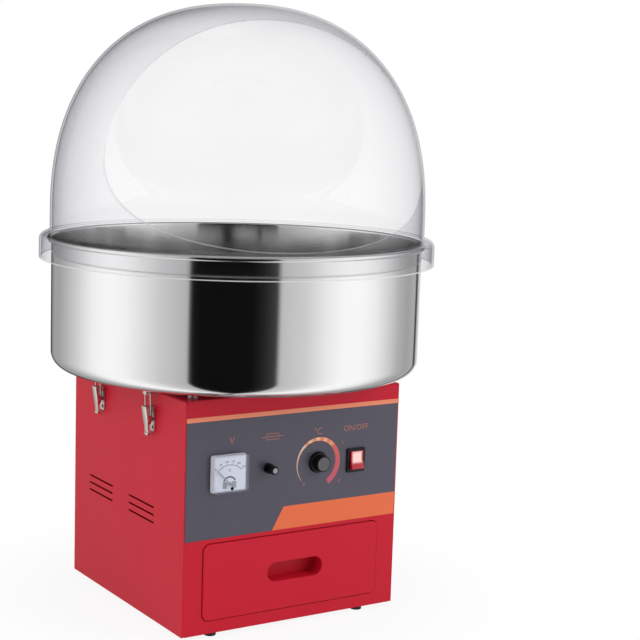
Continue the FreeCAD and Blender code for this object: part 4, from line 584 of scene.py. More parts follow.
# Laminated electrical steel: dark bluish grey with thin layers.
MOTOR_STEEL = BareMetal(
    name="laminated_motor_steel", colour="#6E7278", patch_colour="#585B60", patch_mm=5.0, roughness=0.45,
)
# Drawn brass: yellow, bright where the brushes rub.
BRASS = BareMetal(name="drawn_brass", colour="#C9A24E", patch_colour="#B58C3C", patch_mm=7.0, roughness=0.24)
# Resistance ribbon: nickel-chromium gone brown-grey from heat.
HEATER_ALLOY = BareMetal(
    name="resistance_ribbon", colour="#7F7268", patch_colour="#5E5650", patch_mm=8.0, roughness=0.42,
)
# Pressed carbon: matt black with a metallic dust sheen.
CARBON = MouldedPlastic(
    name="pressed_carbon", colour="#2A2A2C", patch_colour="#1F1F21", patch_mm=4.0, roughness=0.6,
)
# Glazed steatite: off-white and glossy.
CERAMIC = MouldedPlastic(
    name="glazed_steatite", colour="#E6E1D4", patch_colour="#DCD5C6", patch_mm=6.0, roughness=0.22,
)
# Phenolic and ABS control parts: black with a soft shine on the edges.
BLACK_ABS = MouldedPlastic(
    name="black_abs", colour="#08080A", patch_colour="#0E0E10", patch_mm=16.0, roughness=0.24, specular=0.22,
)
# The knob's inset face: grey lacquered aluminium disc.
GREY_CAP = MouldedPlastic(
    name="grey_knob_cap", colour="#4C4C52", patch_colour="#56565C", patch_mm=14.0, roughness=0.3,
)
# The fuse cap's end disc: a paler, shinier grey that is a painted highlight, the glint on the black cap's
# rounded glossy end.
FUSE_TIP_PAINTED_HIGHLIGHT = MouldedPlastic(
    name="fuse_tip_painted_highlight", colour="#9C9CA2", patch_colour="#86868D", patch_mm=5.0, roughness=0.25,
)
# Nitrile rubber: matt black, a little dusty.
RUBBER = MouldedPlastic(
    name="nitrile_rubber", colour="#1C1C1D", patch_colour="#262627", patch_mm=8.0, roughness=0.7,
)
# White ABS of the meter's case.
WHITE_ABS = MouldedPlastic(
    name="white_abs", colour="#EDEEF2", patch_colour="#E6E7EC", patch_mm=20.0, roughness=0.4,
)
# Painted aluminium dial.
DIAL_WHITE = MouldedPlastic(
    name="painted_dial", colour="#F6F7FA", patch_colour="#E8EAF0", patch_mm=9.0, roughness=0.35,
)
# Silk-screen inks; the grey one also paints the needle and the coil blocks.
BLACK_INK = MouldedPlastic(
    name="black_ink", colour="#26262A", patch_colour="#303036", patch_mm=6.0, roughness=0.5,
)
GREY_INK = MouldedPlastic(
    name="grey_ink", colour="#A5A6AA", patch_colour="#989A9F", patch_mm=4.0, roughness=0.5,
)
CORAL_INK = MouldedPlastic(
    name="coral_ink", colour="#B4705F", patch_colour="#A5645A", patch_mm=9.0, roughness=0.45,
)
# Glass-epoxy board under green solder mask.
BOARD = MouldedPlastic(
    name="solder_mask_board", colour="#1F5A38", patch_colour="#1A4C30", patch_mm=6.0, roughness=0.35,
)


# Modelling helpers


def select_only(*objects: Piece) -> None:
    """Leaves object mode with only these objects selected, the first of them active."""
    for item in bpy.context.selected_objects:
        item.select_set(False)
    for item in objects:
        item.select_set(True)
    if objects:
        bpy.context.view_layer.objects.active = objects[0]


def place_in_mesh(piece: Piece) -> None:
    """Moves the piece's place, turn and size into its mesh."""
    select_only(piece)
    bpy.ops.object.transform_apply(location=True, rotation=True, scale=True)


def clean(piece: Piece, dissolve: bool = False) -> None:
    """Merges doubles, closes flat faces if asked, and points the faces outward.

    Args:
        piece: the mesh.
        dissolve: join faces that lie in one plane.
    """
    select_only(piece)
    bpy.ops.object.mode_set(mode="EDIT")
    bpy.ops.mesh.select_all(action="SELECT")
    bpy.ops.mesh.remove_doubles(threshold=MERGE_MM * MM)
    if dissolve:
        bpy.ops.mesh.dissolve_limited(angle_limit=FLAT_ANGLE)
    bpy.ops.mesh.select_all(action="SELECT")
    bpy.ops.mesh.normals_make_consistent(inside=False)
    bpy.ops.object.mode_set(mode="OBJECT")


def smooth(piece: Piece) -> None:
    """Shades the piece smooth up to the smoothing angle."""
    select_only(piece)
    bpy.ops.object.shade_smooth_by_angle(angle=SMOOTH_ANGLE)


def apply_modifier(piece: Piece, kind: str, **settings: object) -> None:
    """Adds a modifier with its settings and applies it.

    Args:
        piece: the mesh.
        kind: the modifier's type name.
        settings: attributes of the modifier.
    """
    modifier = piece.modifiers.new(kind.lower(), kind)
    for name, value in settings.items():
        setattr(modifier, name, value)
    select_only(piece)
    bpy.ops.object.modifier_apply(modifier=modifier.name)


def dress(piece: Piece, finish: Finish) -> None:
    """Gives a piece or a CAD node its finish."""
    if not piece.material_slots:
        piece.data.materials.append(finish.material())
    for slot in piece.material_slots:
        slot.material = finish.material()


def dress_nodes(finish: Finish, *names: str) -> None:
    """Gives CAD nodes a finish."""
    for name in names:
        dress(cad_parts[name], finish)
        LOG.info("%s: CAD node in %s", name, finish.name)


def settle(piece: Piece, body: str, finish: Finish, slot: Slot, *nodes: str) -> Piece:
    """Finishes a new piece and fixes it to its body.

    Args:
        piece: the mesh, in place.
        body: the CAD body that it rides on.
        finish: its finish.
        slot: not used.
        nodes: the CAD nodes that it stands for.

    Returns:
        The same piece.
    """
    dress(piece, finish)
    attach(piece, body)
    if nodes:
        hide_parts(*nodes)
    LOG.info("%s: %d faces in %s on %s", piece.name, len(piece.data.polygons), finish.name, body)
    return piece


def arc(
    centre: tuple[float, float], radius: float, start: float, end: float, steps: int,
) -> list[tuple[float, float]]:
    """Points of an arc in a section.

    Args:
        centre: its centre as radius and height, in millimetres.
        radius: its radius in millimetres.
        start: first angle in degrees, from outward towards up.
        end: last angle in degrees.
        steps: runs between the points.

    Returns:
        The points, both ends among them.
    """
    angles = [math.radians(start + (end - start) * step / steps) for step in range(steps + 1)]
    return [(centre[0] + radius * math.cos(a), centre[1] + radius * math.sin(a)) for a in angles]


def turned(name: str, outline: Outline, segments: int) -> Piece:
    """Turns an outline about the vertical axis: one ring, extruded and resized from point to point.

    Args:
        name: the piece's name.
        outline: radius and height of each ring in millimetres; a radius of 0 at the end closes the pole.
        segments: faces round the axis.

    Returns:
        The skin, with its faces outward.
    """
    (radius, height), rest = outline[0], outline[1:]
    select_only()
    bpy.ops.mesh.primitive_circle_add(vertices=segments, radius=radius * MM, location=(0, 0, height * MM))
    piece = bpy.context.object
    piece.name = name
    place_in_mesh(piece)
    bpy.ops.object.mode_set(mode="EDIT")
    bpy.ops.mesh.select_mode(type="EDGE")
    bpy.ops.mesh.select_all(action="SELECT")
    for next_radius, next_height in rest:
        rise = (0, 0, (next_height - height) * MM)
        bpy.ops.mesh.extrude_region_move(TRANSFORM_OT_translate={"value": rise})
        if next_radius == 0:
            bpy.ops.mesh.merge(type="CENTER")
            break
        ratio = next_radius / radius
        bpy.ops.transform.resize(value=(ratio, ratio, 1), center_override=(0, 0, next_height * MM))
        radius, height = next_radius, next_height
    bpy.ops.mesh.select_all(action="SELECT")
    bpy.ops.mesh.normals_make_consistent(inside=False)
    bpy.ops.object.mode_set(mode="OBJECT")
    return piece


def softened(node: str, body: str, finish: Finish, slot: Slot, width: float, steps: int = 2) -> Piece:
    """Remakes a CAD node with its sharp edges rounded.

    Args:
        node: the CAD node.
        body: the body that it belongs to.
        finish: its finish.
        slot: the record's material slot for it.
        width: the rounding's width in millimetres.
        steps: the rounding's faces.

    Returns:
        The new piece.
    """
    piece = bpy.data.objects.new(f"{node}_rounded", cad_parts[node].data.copy())
    bpy.context.collection.objects.link(piece)
    clean(piece, dissolve=True)
    apply_modifier(
        piece, "BEVEL", width=width * MM, segments=steps, limit_method="ANGLE", angle_limit=SMOOTH_ANGLE,
    )
    smooth(piece)
    return settle(piece, body, finish, slot, node)


def lettering(
    name: str, words: str, size: float, centre: tuple[float, float, float], thickness: float = 0.06,
) -> Piece:
    """Makes printed characters on an upright face that looks towards the front.

    Args:
        name: the piece's name.
        words: the characters.
        size: the type's size in millimetres.
        centre: the middle of the words in millimetres, on the face.
        thickness: how far the ink stands out, in millimetres.

    Returns:
        The mesh, in place.
    """
    select_only()
    bpy.ops.object.text_add()
    piece = bpy.context.object
    piece.name = name
    piece.data.body = words
    piece.data.size = size * MM
    piece.data.extrude = thickness * MM
    piece.data.align_x = "CENTER"
    piece.data.align_y = "CENTER"
    piece.data.resolution_u = LETTER_STEPS
    bpy.ops.object.convert(target="MESH")
    piece = bpy.context.object
    piece.data.transform(Matrix.Rotation(math.radians(90), 4, "X"))
    piece.data.transform(Matrix.Translation([value * MM for value in centre]))
    clean(piece)
    return piece


def merged(name: str, pieces: Sequence[Piece]) -> Piece:
    """Joins pieces into one.

    Args:
        name: the new piece's name.
        pieces: the meshes.

    Returns:
        The joined piece.
    """
    select_only(*pieces)
    if len(pieces) > 1:
        bpy.ops.object.join()
    piece = bpy.context.object
    piece.name = name
    return piece


def flat_bar(
    centre: tuple[float, float], size: tuple[float, float], angle: float, y: float, depth: float,
) -> Piece:
    """A thin printed bar on an upright face.

    Args:
        centre: its middle as x and z in millimetres.
        size: length and height in millimetres.
        angle: its turn in degrees, anticlockwise from the front.
        y: the face's depth in millimetres.
        depth: how far it stands out in millimetres.

    Returns:
        The mesh, in place.
    """
    select_only()
    bpy.ops.mesh.primitive_plane_add(size=1)
    piece = bpy.context.object
    piece.data.transform(Matrix.Diagonal((size[0] * MM, size[1] * MM, 1, 1)))
    piece.data.transform(Matrix.Rotation(math.radians(angle), 4, "Z"))
    piece.data.transform(Matrix.Rotation(math.radians(90), 4, "X"))
    piece.data.transform(Matrix.Translation((centre[0] * MM, y * MM, centre[1] * MM)))
    select_only(piece)
    bpy.ops.object.mode_set(mode="EDIT")
    bpy.ops.mesh.select_all(action="SELECT")
    bpy.ops.mesh.extrude_region_move(TRANSFORM_OT_translate={"value": (0, -depth * MM, 0)})
    bpy.ops.mesh.select_all(action="SELECT")
    bpy.ops.mesh.normals_make_consistent(inside=False)
    bpy.ops.object.mode_set(mode="OBJECT")
    return piece


def arc_strip(
    centre: tuple[float, float], radii: tuple[float, float], span: tuple[float, float], y: float,
    depth: float, steps: int = 24,
) -> Piece:
    """A thin printed arc on an upright face, spun from one short edge.

    Args:
        centre: its centre as x and z in millimetres.
        radii: inner and outer radius in millimetres.
        span: first and last angle in degrees, anticlockwise from the right.
        y: the face's depth in millimetres.
        depth: how far it stands out in millimetres.
        steps: faces along it.

    Returns:
        The mesh, in place.
    """
    middle = Vector((centre[0] * MM, y * MM, centre[1] * MM))
    select_only()
    bpy.ops.mesh.primitive_plane_add(size=1)
    piece = bpy.context.object
    inner, outer = (radius * MM for radius in radii)
    width, thick = outer - inner, depth * MM
    piece.data.transform(Matrix.Diagonal((width, thick, 1, 1)))
    piece.data.transform(Matrix.Translation(((inner + outer) / 2, -thick / 2, 0)))
    piece.data.transform(Matrix.Rotation(math.radians(-span[0]), 4, "Y"))
    piece.data.transform(Matrix.Translation(middle))
    select_only(piece)
    bpy.ops.object.mode_set(mode="EDIT")
    bpy.ops.mesh.select_all(action="SELECT")
    bpy.ops.mesh.spin(
        steps=steps, angle=math.radians(span[1] - span[0]), center=middle, axis=(0, 1, 0), dupli=False,
    )
    bpy.ops.object.mode_set(mode="OBJECT")
    clean(piece)
    return piece


# The studio


@dataclass(frozen=True)
class Studio:
    """Camera, lamps, world and floor. Sizes in millimetres, angles in degrees."""

    azimuth: float = -30.77
    elevation: float = 8.31
    roll: float = 1.4
    distance: float = 2185.0
    aim_height: float = 398.4
    lens: float = 86.06
    film_width: float = 36.0
    shift: float = 0.133
    floor_radius: float = 1450.0
    floor_white: float = 0.9
    floor_paint: tuple[float, float, float, float] = (0.93, 0.93, 0.93, 1.0)
    floor_fade: tuple[float, float] = (0.2, 0.5)
    floor_sides: int = 96
    steel_shine: float = 0.74
    overhead: float = 0.5
    overhead_rise: tuple[float, float] = (0.45, 0.85)
    # Name, place and size in millimetres, and power in watts.
    lamps: tuple[tuple[str, tuple[float, float, float], float, float], ...] = (
        ("key_softbox", (1700, -2300, 1900), 1500, 25.0),
        ("fill_softbox", (-2500, -900, 1500), 1700, 12.5),
        ("top_softbox", (0, -200, 2600), 1700, 12.0),
    )
    # Brightness of the room by compass angle: 0 is the front, 90 the operator's right.
    room: tuple[tuple[float, int], ...] = (
        (-180, 154), (-170, 157), (-158, 178), (-145, 204), (-127, 243), (-114, 252), (-101, 247), (-89, 228),
        (-76, 202), (-63, 185), (-58.5, 178), (-57.5, 14), (-20, 15), (-14, 32), (-5, 60), (-3.5, 190),
        (13, 208), (26, 237), (39, 252), (52, 252), (64, 240), (76, 212), (89, 176), (101, 158), (113, 165),
        (116.5, 165), (117.5, 50), (122, 50), (123, 158), (132, 206), (142, 225), (152, 170), (158, 24),
        (167, 20), (168, 110), (180, 154),
    )

    def build(self) -> None:
        """Makes everything that isn't the machine."""
        self.make_camera()
        self.make_world()
        self.make_lamps()
        self.make_floor()

    def make_camera(self) -> None:
        """Makes the camera and looks through it."""
        turn, lift = math.radians(self.azimuth), math.radians(self.elevation)
        back = Vector((math.sin(turn) * math.cos(lift), -math.cos(turn) * math.cos(lift), math.sin(lift)))
        data = bpy.data.cameras.new("studio_camera")
        data.lens = self.lens
        data.sensor_width = self.film_width
        data.shift_x = self.shift
        camera = bpy.data.objects.new("studio_camera", data)
        bpy.context.collection.objects.link(camera)
        camera.location = Vector((0, 0, self.aim_height * MM)) + back * self.distance * MM
        camera.rotation_mode = "QUATERNION"
        level = (-back).to_track_quat("-Z", "Y")
        camera.rotation_quaternion = level @ Quaternion((0, 0, 1), math.radians(self.roll))
        bpy.context.scene.camera = camera

    def make_world(self) -> None:
        """Makes the room: cards and gaps by compass angle, and white past the machine."""
        world = bpy.data.worlds.new("studio_room")
        bpy.context.scene.world = world
        world.use_nodes = True
        tree = world.node_tree
        tree.nodes.clear()
        way = tree.nodes.new("ShaderNodeTexCoord").outputs["Generated"]
        axes = tree.nodes.new("ShaderNodeSeparateXYZ")
        tree.links.new(way, axes.inputs[0])
        front = add_node(tree, "ShaderNodeMath", {0: axes.outputs["Y"], 1: -1.0}, operation="MULTIPLY")
        compass = add_node(tree, "ShaderNodeMath", {0: axes.outputs["X"], 1: front}, operation="ARCTAN2")
        share = add_node(
            tree, "ShaderNodeMath", {0: compass, 1: 0.5 / math.pi, 2: 0.5}, operation="MULTIPLY_ADD",
        )
        curve = tree.nodes.new("ShaderNodeFloatCurve")
        points = curve.mapping.curves[0].points
        for index, (angle, level) in enumerate(self.room):
            x, y = (angle + 180) / 360, linear(f"#{level:02X}{level:02X}{level:02X}")[0]
            if index in (0, 1):
                points[index].location = (x, y)
            else:
                points.new(x, y)
        for point in points:
            point.handle_type = "VECTOR"
        curve.mapping.update()
        tree.links.new(share, curve.inputs["Value"])
        ring = add_node(
            tree, "ShaderNodeMath", {0: curve.outputs[0], 1: 1 / self.steel_shine}, operation="MULTIPLY",
        )
        start, end = self.overhead_rise
        high = add_node(
            tree, "ShaderNodeMapRange", {0: axes.outputs["Z"], 1: start, 2: end, 3: 0.0, 4: 1.0},
            interpolation_type="SMOOTHSTEP",
        )
        level = add_node(tree, "ShaderNodeMix", {0: high, 2: ring, 3: self.overhead}, data_type="FLOAT")
        room = add_node(tree, "ShaderNodeBackground", {"Color": level})
        white = add_node(tree, "ShaderNodeBackground", {"Color": (1, 1, 1, 1)})
        path = tree.nodes.new("ShaderNodeLightPath")
        mixed = add_node(tree, "ShaderNodeMixShader", {0: path.outputs["Is Camera Ray"], 1: room, 2: white})
        add_node(tree, "ShaderNodeOutputWorld", {"Surface": mixed})

    def make_lamps(self) -> None:
        """Hangs the soft lamps, which the polished steel doesn't show."""
        for name, place, size, power in self.lamps:
            data = bpy.data.lights.new(name, "AREA")
            data.size = size * MM
            data.energy = power
            lamp = bpy.data.objects.new(name, data)
            bpy.context.collection.objects.link(lamp)
            lamp.location = Vector(place) * MM
            aim = Vector((0, 0, self.aim_height * MM)) - lamp.location
            lamp.rotation_euler = aim.to_track_quat("-Z", "Y").to_euler()
            lamp.visible_glossy = False
            lamp.visible_transmission = False

    def make_floor(self) -> None:
        """Lays a white disc that fades into the white background and keeps the machine's shadow."""
        select_only()
        bpy.ops.mesh.primitive_circle_add(
            vertices=self.floor_sides, radius=self.floor_radius * MM, fill_type="NGON",
        )
        floor = bpy.context.object
        floor.name = "studio_floor"
        made = bpy.data.materials.new("studio_floor")
        made.use_nodes = True
        tree = made.node_tree
        tree.nodes.clear()
        place = tree.nodes.new("ShaderNodeTexCoord").outputs["Object"]
        reach = add_node(tree, "ShaderNodeVectorMath", {0: place}, operation="LENGTH")
        near, far = self.floor_fade
        fade = add_node(
            tree, "ShaderNodeMapRange",
            {0: reach.node.outputs["Value"], 1: near, 2: far, 3: self.floor_white, 4: 1.0},
            interpolation_type="SMOOTHSTEP",
        )
        path = tree.nodes.new("ShaderNodeLightPath")
        share = add_node(
            tree, "ShaderNodeMath", {0: fade, 1: path.outputs["Is Camera Ray"]}, operation="MULTIPLY",
        )
        paint = add_node(tree, "ShaderNodeBsdfDiffuse", {"Color": self.floor_paint})
        white = add_node(tree, "ShaderNodeEmission", {"Color": (1, 1, 1, 1), "Strength": 1.0})
        mixed = add_node(tree, "ShaderNodeMixShader", {0: share, 1: paint, 2: white})
        add_node(tree, "ShaderNodeOutputMaterial", {"Surface": mixed})
        floor.data.materials.append(made)
        floor.visible_glossy = False


# Sub-assemblies


@dataclass(frozen=True)
class Cabinet:
    """The folded cabinet, its panels, feet and printed fascia."""

    edge: float = 0.5
    label_height: float = 266.5
    label_size: float = 13.0
    switch_label_size: float = 11.5
    number_size: float = 6.5
    ink: float = 0.05
    meter_x: float = -100.0
    fuse_x: float = -37.0
    knob_x: float = 36.0
    switch_x: float = 98.5
    # Each number on the heat scale, with its x and z.
    numbers: tuple[tuple[str, float, float], ...] = (("0", 15, 195), ("10", 72, 194), ("5", 77, 247))
    fuse_half: tuple[float, float] = (10.0, 4.0)
    fuse_line: float = 0.9
    fuse_lead: float = 34.0

    def build(self) -> None:
        """Dresses the cabinet's nodes and prints the fascia."""
        dress_nodes(RED_COAT, "cabinet_shell", "base_plate", "front_panel", "back_panel")
        dress_nodes(FILM, "control_fascia")
        dress_nodes(ZINC, "cabinet_screws", "drawer_runners", "bowl_support_posts")
        softened("rubber_feet", "cabinet", RUBBER, Slot.BLACK_RUBBER, self.edge)
        self.print_labels()

    def print_labels(self) -> None:
        """Prints generic signs over the controls: volts, a fuse, heat and the switch's ON/OFF."""
        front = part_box("control_fascia")[0].y * PER_MM
        y, z = front - self.ink, self.label_height
        volts = lettering("label_volts", "V", self.label_size, (self.meter_x, y, z))
        heat = lettering("label_heat", "°C", self.label_size, (self.knob_x, y, z))
        switch = lettering("label_on_off", "ON/OFF", self.switch_label_size, (self.switch_x, y, z))
        fuse = self.fuse_sign(front)
        numbers = [
            lettering(f"scale_{value}", value, self.number_size, (x, y, height))
            for value, x, height in self.numbers
        ]
        labels = merged("fascia_labels", [volts, heat, switch, fuse, *numbers])
        settle(labels, "cabinet", CORAL_INK, Slot.FASCIA_PRINT)

    def fuse_sign(self, front: float) -> Piece:
        """Draws the usual sign for a fuse: a long box with a line through it.

        Args:
            front: depth of the fascia's face in millimetres.

        Returns:
            The sign.
        """
        x, z, line = self.fuse_x, self.label_height, self.fuse_line
        wide, high = self.fuse_half
        bars = [flat_bar((x, z), (self.fuse_lead, line), 0, front, 2 * self.ink)]
        for side in (1, -1):
            bars.append(flat_bar((x, z + side * high), (2 * wide, line), 0, front, 2 * self.ink))
        for side in (-1, 1):
            spot = (x + side * (wide - line / 2), z)
            bars.append(flat_bar(spot, (line, 2 * high), 0, front, 2 * self.ink))
        return merged("label_fuse", bars)


@dataclass(frozen=True)
class Drawer:
    """The crumb drawer with its finger slot."""

    def build(self) -> None:
        """Paints the drawer, whose front has its rounded edges from the CAD."""
        dress_nodes(RED_COAT, "drawer_front", "drawer_tray", "drawer_pull_pocket")


@dataclass(frozen=True)
class Bowl:
    """The spun bowl. Its section follows the bowl's own sizes."""

    radius: float = 260.0
    bottom: float = 334.5
    roll_centre: tuple[float, float] = (263.5, 513.1)
    roll_radius: float = 3.5
    hole_radius: float = 85.0
    collar_height: float = 25.0
    collar_fold: float = 6.0
    corner: float = 20.0
    sheet: float = 1.0
    segments: int = 288
    wall_rings: tuple[float, float] = (60.0, 120.0)
    keeper_edge: float = 0.3

    def build(self) -> None:
        """Spins the bowl and dresses what holds it."""
        floor = self.bottom
        outline = [(self.hole_radius, floor + self.collar_height)]
        outline += arc(
            (self.hole_radius + self.collar_fold, floor + self.collar_fold), self.collar_fold, 180, 270, 8,
        )
        outline += arc((self.radius - self.corner, floor + self.corner), self.corner, 270, 360, 16)
        outline += [(self.radius, floor + height) for height in self.wall_rings]
        outline += arc(self.roll_centre, self.roll_radius, 180, -140, 24)
        skin = turned("spun_bowl", outline, self.segments)
        apply_modifier(skin, "SOLIDIFY", thickness=self.sheet * MM, offset=-1, use_even_offset=True)
        smooth(skin)
        settle(skin, "cabinet", STAINLESS, Slot.STAINLESS, "bowl")
        softened("bowl_keepers", "cabinet", NICKEL, Slot.NICKEL, self.keeper_edge)


@dataclass(frozen=True)
class ClearCover:
    """The blown clear cover: skirt, shoulder, ledge, wall and dome, with the hatch cut out."""

    skirt_radius: float = 278.35
    skirt_bottom: float = 486.9
    ledge_top: float = 520.9
    shoulder: float = 9.0
    foot_fillet: float = 4.0
    wall_radius: float = 263.5
    dome_base: float = 545.5
    dome_height: float = 295.8
    exponent: float = 2.33
    sheet: float = 3.0
    segments: int = 256
    dome_rings: int = 48
    hatch_turn: float = -12.7
    hatch_tilt: float = 33.0
    hatch_half_width: float = 220.0
    hatch_half_height: float = 160.0
    hatch_shift: float = -3.0
    hatch_drop: float = 97.0
    hatch_axis: float = 657.0
    hatch_sides: int = 192
    lip: float = 1.2
    near_cut: float = 0.004
    square_to_cut: float = 0.1

    def build(self) -> None:
        """Turns the cover and cuts its hatch."""
        outline = [(self.skirt_radius, self.skirt_bottom), (self.skirt_radius, self.skirt_bottom + self.lip)]
        shoulder_centre = (self.skirt_radius - self.shoulder, self.ledge_top - self.shoulder)
        outline += arc(shoulder_centre, self.shoulder, 0, 90, 12)
        fillet_centre = (self.wall_radius + self.foot_fillet, self.ledge_top + self.foot_fillet)
        outline += arc(fillet_centre, self.foot_fillet, 270, 180, 6)
        outline += self.dome_outline()
        cover = turned("blown_cover", outline, self.segments)
        apply_modifier(cover, "SOLIDIFY", thickness=self.sheet * MM, offset=-1, use_even_offset=True)
        cutter = self.hatch_cutter()
        apply_modifier(cover, "BOOLEAN", operation="DIFFERENCE", object=cutter, solver="EXACT")
        bpy.data.objects.remove(cutter)
        clean(cover)
        smooth(cover)
        settle(cover, "cover", ACRYLIC, Slot.CLEAR_ACRYLIC, "dome_cover")
        self.paint_edge_glow(cover)

    def paint_edge_glow(self, cover: Piece) -> None:
        """Paints light on the skirt's lip and the sawn edge of the hatch: the white share stands for the
        light the sheet gathers there.
        """
        cover.data.materials.append(EDGE_PAINTED_GLOW.material())
        to_hatch = self.hatch_place().inverted()
        sawn = 0
        for face in cover.data.polygons:
            spot = to_hatch @ (face.center * PER_MM)
            reach = math.hypot(spot.x / self.hatch_half_width, spot.y / self.hatch_half_height)
            square = abs((to_hatch.to_3x3() @ face.normal).z) < self.square_to_cut
            on_cut = abs(reach - 1) < self.near_cut and spot.z > 0 and square
            if on_cut or face.center.z * PER_MM < self.skirt_bottom + self.lip:
                face.material_index = 1
                sawn += 1
        LOG.info("%s: %d faces along its edges in %s", cover.name, sawn, EDGE_PAINTED_GLOW.name)

    def dome_outline(self) -> list[tuple[float, float]]:
        """Points from the wall to the crown, on a rounded superellipse."""
        points = []
        power = 2 / self.exponent
        for ring in range(self.dome_rings):
            angle = math.pi / 2 * ring / self.dome_rings
            out = self.wall_radius * math.cos(angle) ** power
            points.append((out, self.dome_base + self.dome_height * math.sin(angle) ** power))
        return points + [(0.0, self.dome_base + self.dome_height)]

    def hatch_place(self) -> Matrix:
        """Where the hatch's ellipse lies, in millimetres: x across it, y up it and z out through it."""
        turn, tilt = math.radians(self.hatch_turn), math.radians(self.hatch_tilt)
        outward = Vector((math.sin(turn) * math.cos(tilt), -math.cos(turn) * math.cos(tilt), math.sin(tilt)))
        across = Vector((math.cos(turn), math.sin(turn), 0))
        upward = across.cross(-outward)
        centre = Vector((0, 0, self.hatch_axis)) + across * self.hatch_shift - upward * self.hatch_drop
        return Matrix.Translation(centre) @ Matrix((across, upward, outward)).transposed().to_4x4()

    def hatch_cutter(self) -> Piece:
        """An elliptical bar that reaches from the axis out through the front of the dome."""
        select_only()
        bpy.ops.mesh.primitive_cylinder_add(vertices=self.hatch_sides, radius=1, depth=1)
        cutter = bpy.context.object
        cutter.data.transform(Matrix.Translation((0, 0, 0.5)))
        size = (self.hatch_half_width, self.hatch_half_height, 2 * self.skirt_radius, 1)
        cutter.data.transform(Matrix.Diagonal(size))
        cutter.data.transform(self.hatch_place())
        cutter.data.transform(Matrix.Scale(MM, 4))
        clean(cutter)
        return cutter


@dataclass(frozen=True)
class Latches:
    """Four toggle latches of plated pressings."""

    edge: float = 0.25

    def build(self) -> None:
        """Rounds and plates every latch piece."""
        for node in ("latch_bases", "latch_rivets"):
            softened(node, "cabinet", NICKEL, Slot.NICKEL, self.edge)
        for corner in Corner:
            for part in ("lever", "bail"):
                body = f"{part}_{corner.value}"
                softened(f"latch_{body}", body, NICKEL, Slot.NICKEL, self.edge)


@dataclass(frozen=True)
class PanelMeter:
    """A moving-iron voltmeter in a white case behind a clear cover. Sizes in millimetres."""

    x: float = -106.5
    pivot_z: float = 210.75
    scale_radius: float = 25.0
    sweep: float = 45.0
    divisions: int = 10
    numbers: tuple[str, ...] = ("0", "50", "100", "150", "200", "250")
    number_size: float = 3.6
    number_gap: float = 5.0
    unit_size: float = 6.0
    unit_height: float = 18.0
    ink: float = 0.06
    line: float = 0.5
    tick: float = 0.45
    long_tick: float = 2.6
    short_tick: float = 1.4
    bridge: tuple[float, float] = (8.5, 10.5)
    bridge_span: tuple[float, float] = (25.0, 155.0)
    block: tuple[float, float] = (6.5, 9.0)
    block_x: float = 7.0
    block_drop: float = 1.5
    case_edge: float = 0.5
    cover_edge: float = 0.7
    screw_edge: float = 0.2

    def build(self) -> None:
        """Builds the case, cover and printed dial."""
        softened("meter_case", "cabinet", WHITE_ABS, Slot.WHITE_PLASTIC, self.case_edge)
        softened("meter_cover", "cabinet", STYRENE, Slot.CLEAR_PLASTIC, self.cover_edge)
        dress_nodes(DIAL_WHITE, "meter_dial")
        dress_nodes(GREY_INK, "meter_needle")
        softened("meter_zero_screw", "cabinet", BLACK_ABS, Slot.ZINC_STEEL, self.screw_edge)
        self.print_dial()

    def print_dial(self) -> None:
        """Prints the arc, its ticks, numbers and unit."""
        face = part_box("meter_dial")[0].y * PER_MM
        centre = (self.x, self.pivot_z)
        first, last = 90 - self.sweep, 90 + self.sweep
        radii = (self.scale_radius, self.scale_radius + self.line)
        pieces = [arc_strip(centre, radii, (first, last), face, self.ink)]
        marks = self.divisions * 2
        for mark in range(marks + 1):
            angle = last - (last - first) * mark / marks
            length = self.long_tick if mark % 4 == 0 else self.short_tick
            spot = self.on_dial(angle, self.scale_radius + length / 2)
            pieces.append(flat_bar(spot, (length, self.tick), angle, face, self.ink))
        for step, value in enumerate(self.numbers):
            angle = last - (last - first) * step / (len(self.numbers) - 1)
            x, z = self.on_dial(angle, self.scale_radius + self.number_gap)
            pieces.append(lettering(f"dial_{value}", value, self.number_size, (x, face - self.ink, z)))
        unit_place = (self.x, face - self.ink, self.pivot_z + self.unit_height)
        pieces.append(lettering("dial_unit", "V", self.unit_size, unit_place))
        pieces.append(arc_strip(centre, self.bridge, self.bridge_span, face, self.ink))
        settle(merged("dial_print", pieces), "cabinet", BLACK_INK, Slot.DIAL_WHITE)
        blocks = [
            flat_bar((self.x + side, self.pivot_z - self.block_drop), self.block, 0, face, self.ink)
            for side in (-self.block_x, self.block_x)
        ]
        settle(merged("dial_blocks", blocks), "cabinet", GREY_INK, Slot.DIAL_WHITE)

    def on_dial(self, angle: float, reach: float) -> tuple[float, float]:
        """Gives the x and z of a point on the dial, by its angle in degrees and its reach."""
        turn = math.radians(angle)
        return self.x + reach * math.cos(turn), self.pivot_z + reach * math.sin(turn)


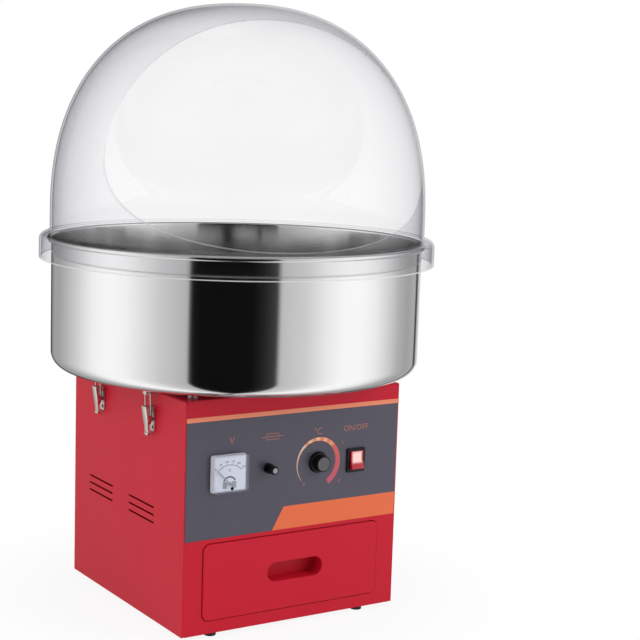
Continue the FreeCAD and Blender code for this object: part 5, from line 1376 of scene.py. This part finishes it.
@dataclass(frozen=True)
class Controls:
    """Fuse holder, heat knob and lit rocker switch."""

    cap_edge: float = 0.8
    knob_edge: float = 0.5
    housing_edge: float = 0.4
    rocker_edge: float = 0.6
    # Radius of the painted highlight on the fuse cap's end.
    cap_highlight_disc: float = 3.6
    knob_disc: float = 9.4
    disc_centre: float = 0.01
    disc_sink: float = 0.1
    disc_depth: float = 0.18
    disc_sides: int = 48

    def build(self) -> None:
        """Builds the controls."""
        dress_nodes(BLACK_ABS, "fuse_holder")
        softened("fuse_cap", "fuse_carrier", BLACK_ABS, Slot.BLACK_PLASTIC, self.cap_edge, 3)
        # The fuse cap's pale end disc is a painted highlight.
        self.end_disc("fuse_cap", "fuse_carrier", self.cap_highlight_disc, FUSE_TIP_PAINTED_HIGHLIGHT)
        dress_nodes(STYRENE, "fuse_link")
        softened("control_knob", "knob", BLACK_ABS, Slot.BLACK_PLASTIC, self.knob_edge)
        self.end_disc("control_knob", "knob", self.knob_disc, GREY_CAP)
        dress_nodes(ZINC, "potentiometer", "potentiometer_shaft")
        softened("switch_housing", "cabinet", BLACK_ABS, Slot.BLACK_PLASTIC, self.housing_edge)
        softened("switch_rocker", "rocker", LENS, Slot.RED_LENS, self.rocker_edge, 3)

    def end_disc(self, node: str, body: str, radius: float, finish: Finish) -> None:
        """Lets a disc into the end of a turned control: the knob's grey lacquered face, and on the fuse cap a
        painted highlight.

        Args:
            node: the CAD node that carries it.
            body: the body it moves with.
            radius: the disc's radius in millimetres.
            finish: what it is made of; on the fuse cap, the painted highlight.
        """
        low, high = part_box(node)
        middle = ((low.x + high.x) / 2 * PER_MM, (low.z + high.z) / 2 * PER_MM)
        depth = low.y * PER_MM + self.disc_sink
        disc = arc_strip(
            middle, (self.disc_centre, radius), (0, 360), depth, self.disc_depth, self.disc_sides,
        )
        settle(merged(f"{node}_disc", [disc]), body, finish, Slot.BLACK_PLASTIC)


@dataclass(frozen=True)
class Inside:
    """What the cabinet holds: motor, brush gear, electrics and the spinner head."""

    head_edge: float = 0.6
    gland_edge: float = 0.4

    def build(self) -> None:
        """Dresses the inner nodes."""
        dress_nodes(CAST_ALUMINIUM, "motor_caps")
        dress_nodes(MOTOR_STEEL, "motor_stator", "motor_rotor")
        dress_nodes(ZINC, "motor_bearings", "motor_shaft", "head_fasteners")
        dress_nodes(RUBBER, "motor_standoffs")
        dress_nodes(BLACK_ABS, "cooling_fan", "slip_ring_carrier", "brush_holder")
        dress_nodes(BRASS, "slip_rings", "brush_terminals")
        dress_nodes(CARBON, "brush_lower", "brush_upper")
        dress_nodes(CERAMIC, "heater_posts")
        dress_nodes(HEATER_ALLOY, "heater_ribbon")
        dress_nodes(STAINLESS, "perforated_band")
        dress_nodes(BOARD, "control_board")
        for node in ("head_base", "head_cover"):
            softened(node, "spinner", CAST_ALUMINIUM, Slot.ALUMINIUM, self.head_edge)
        for node in ("cable_gland", "gland_nut"):
            softened(node, "cabinet", BLACK_ABS, Slot.BLACK_PLASTIC, self.gland_edge)


def main() -> None:
    """Builds the studio and the machine."""
    logging.basicConfig(level=logging.INFO, format="%(message)s")
    bpy.context.scene.view_settings.view_transform = "Standard"
    for assembly in (Studio, Cabinet, Drawer, Bowl, ClearCover, Latches, PanelMeter, Controls, Inside):
        LOG.info("-- %s", assembly.__name__)
        assembly().build()


if __name__ == "__main__":
    main()
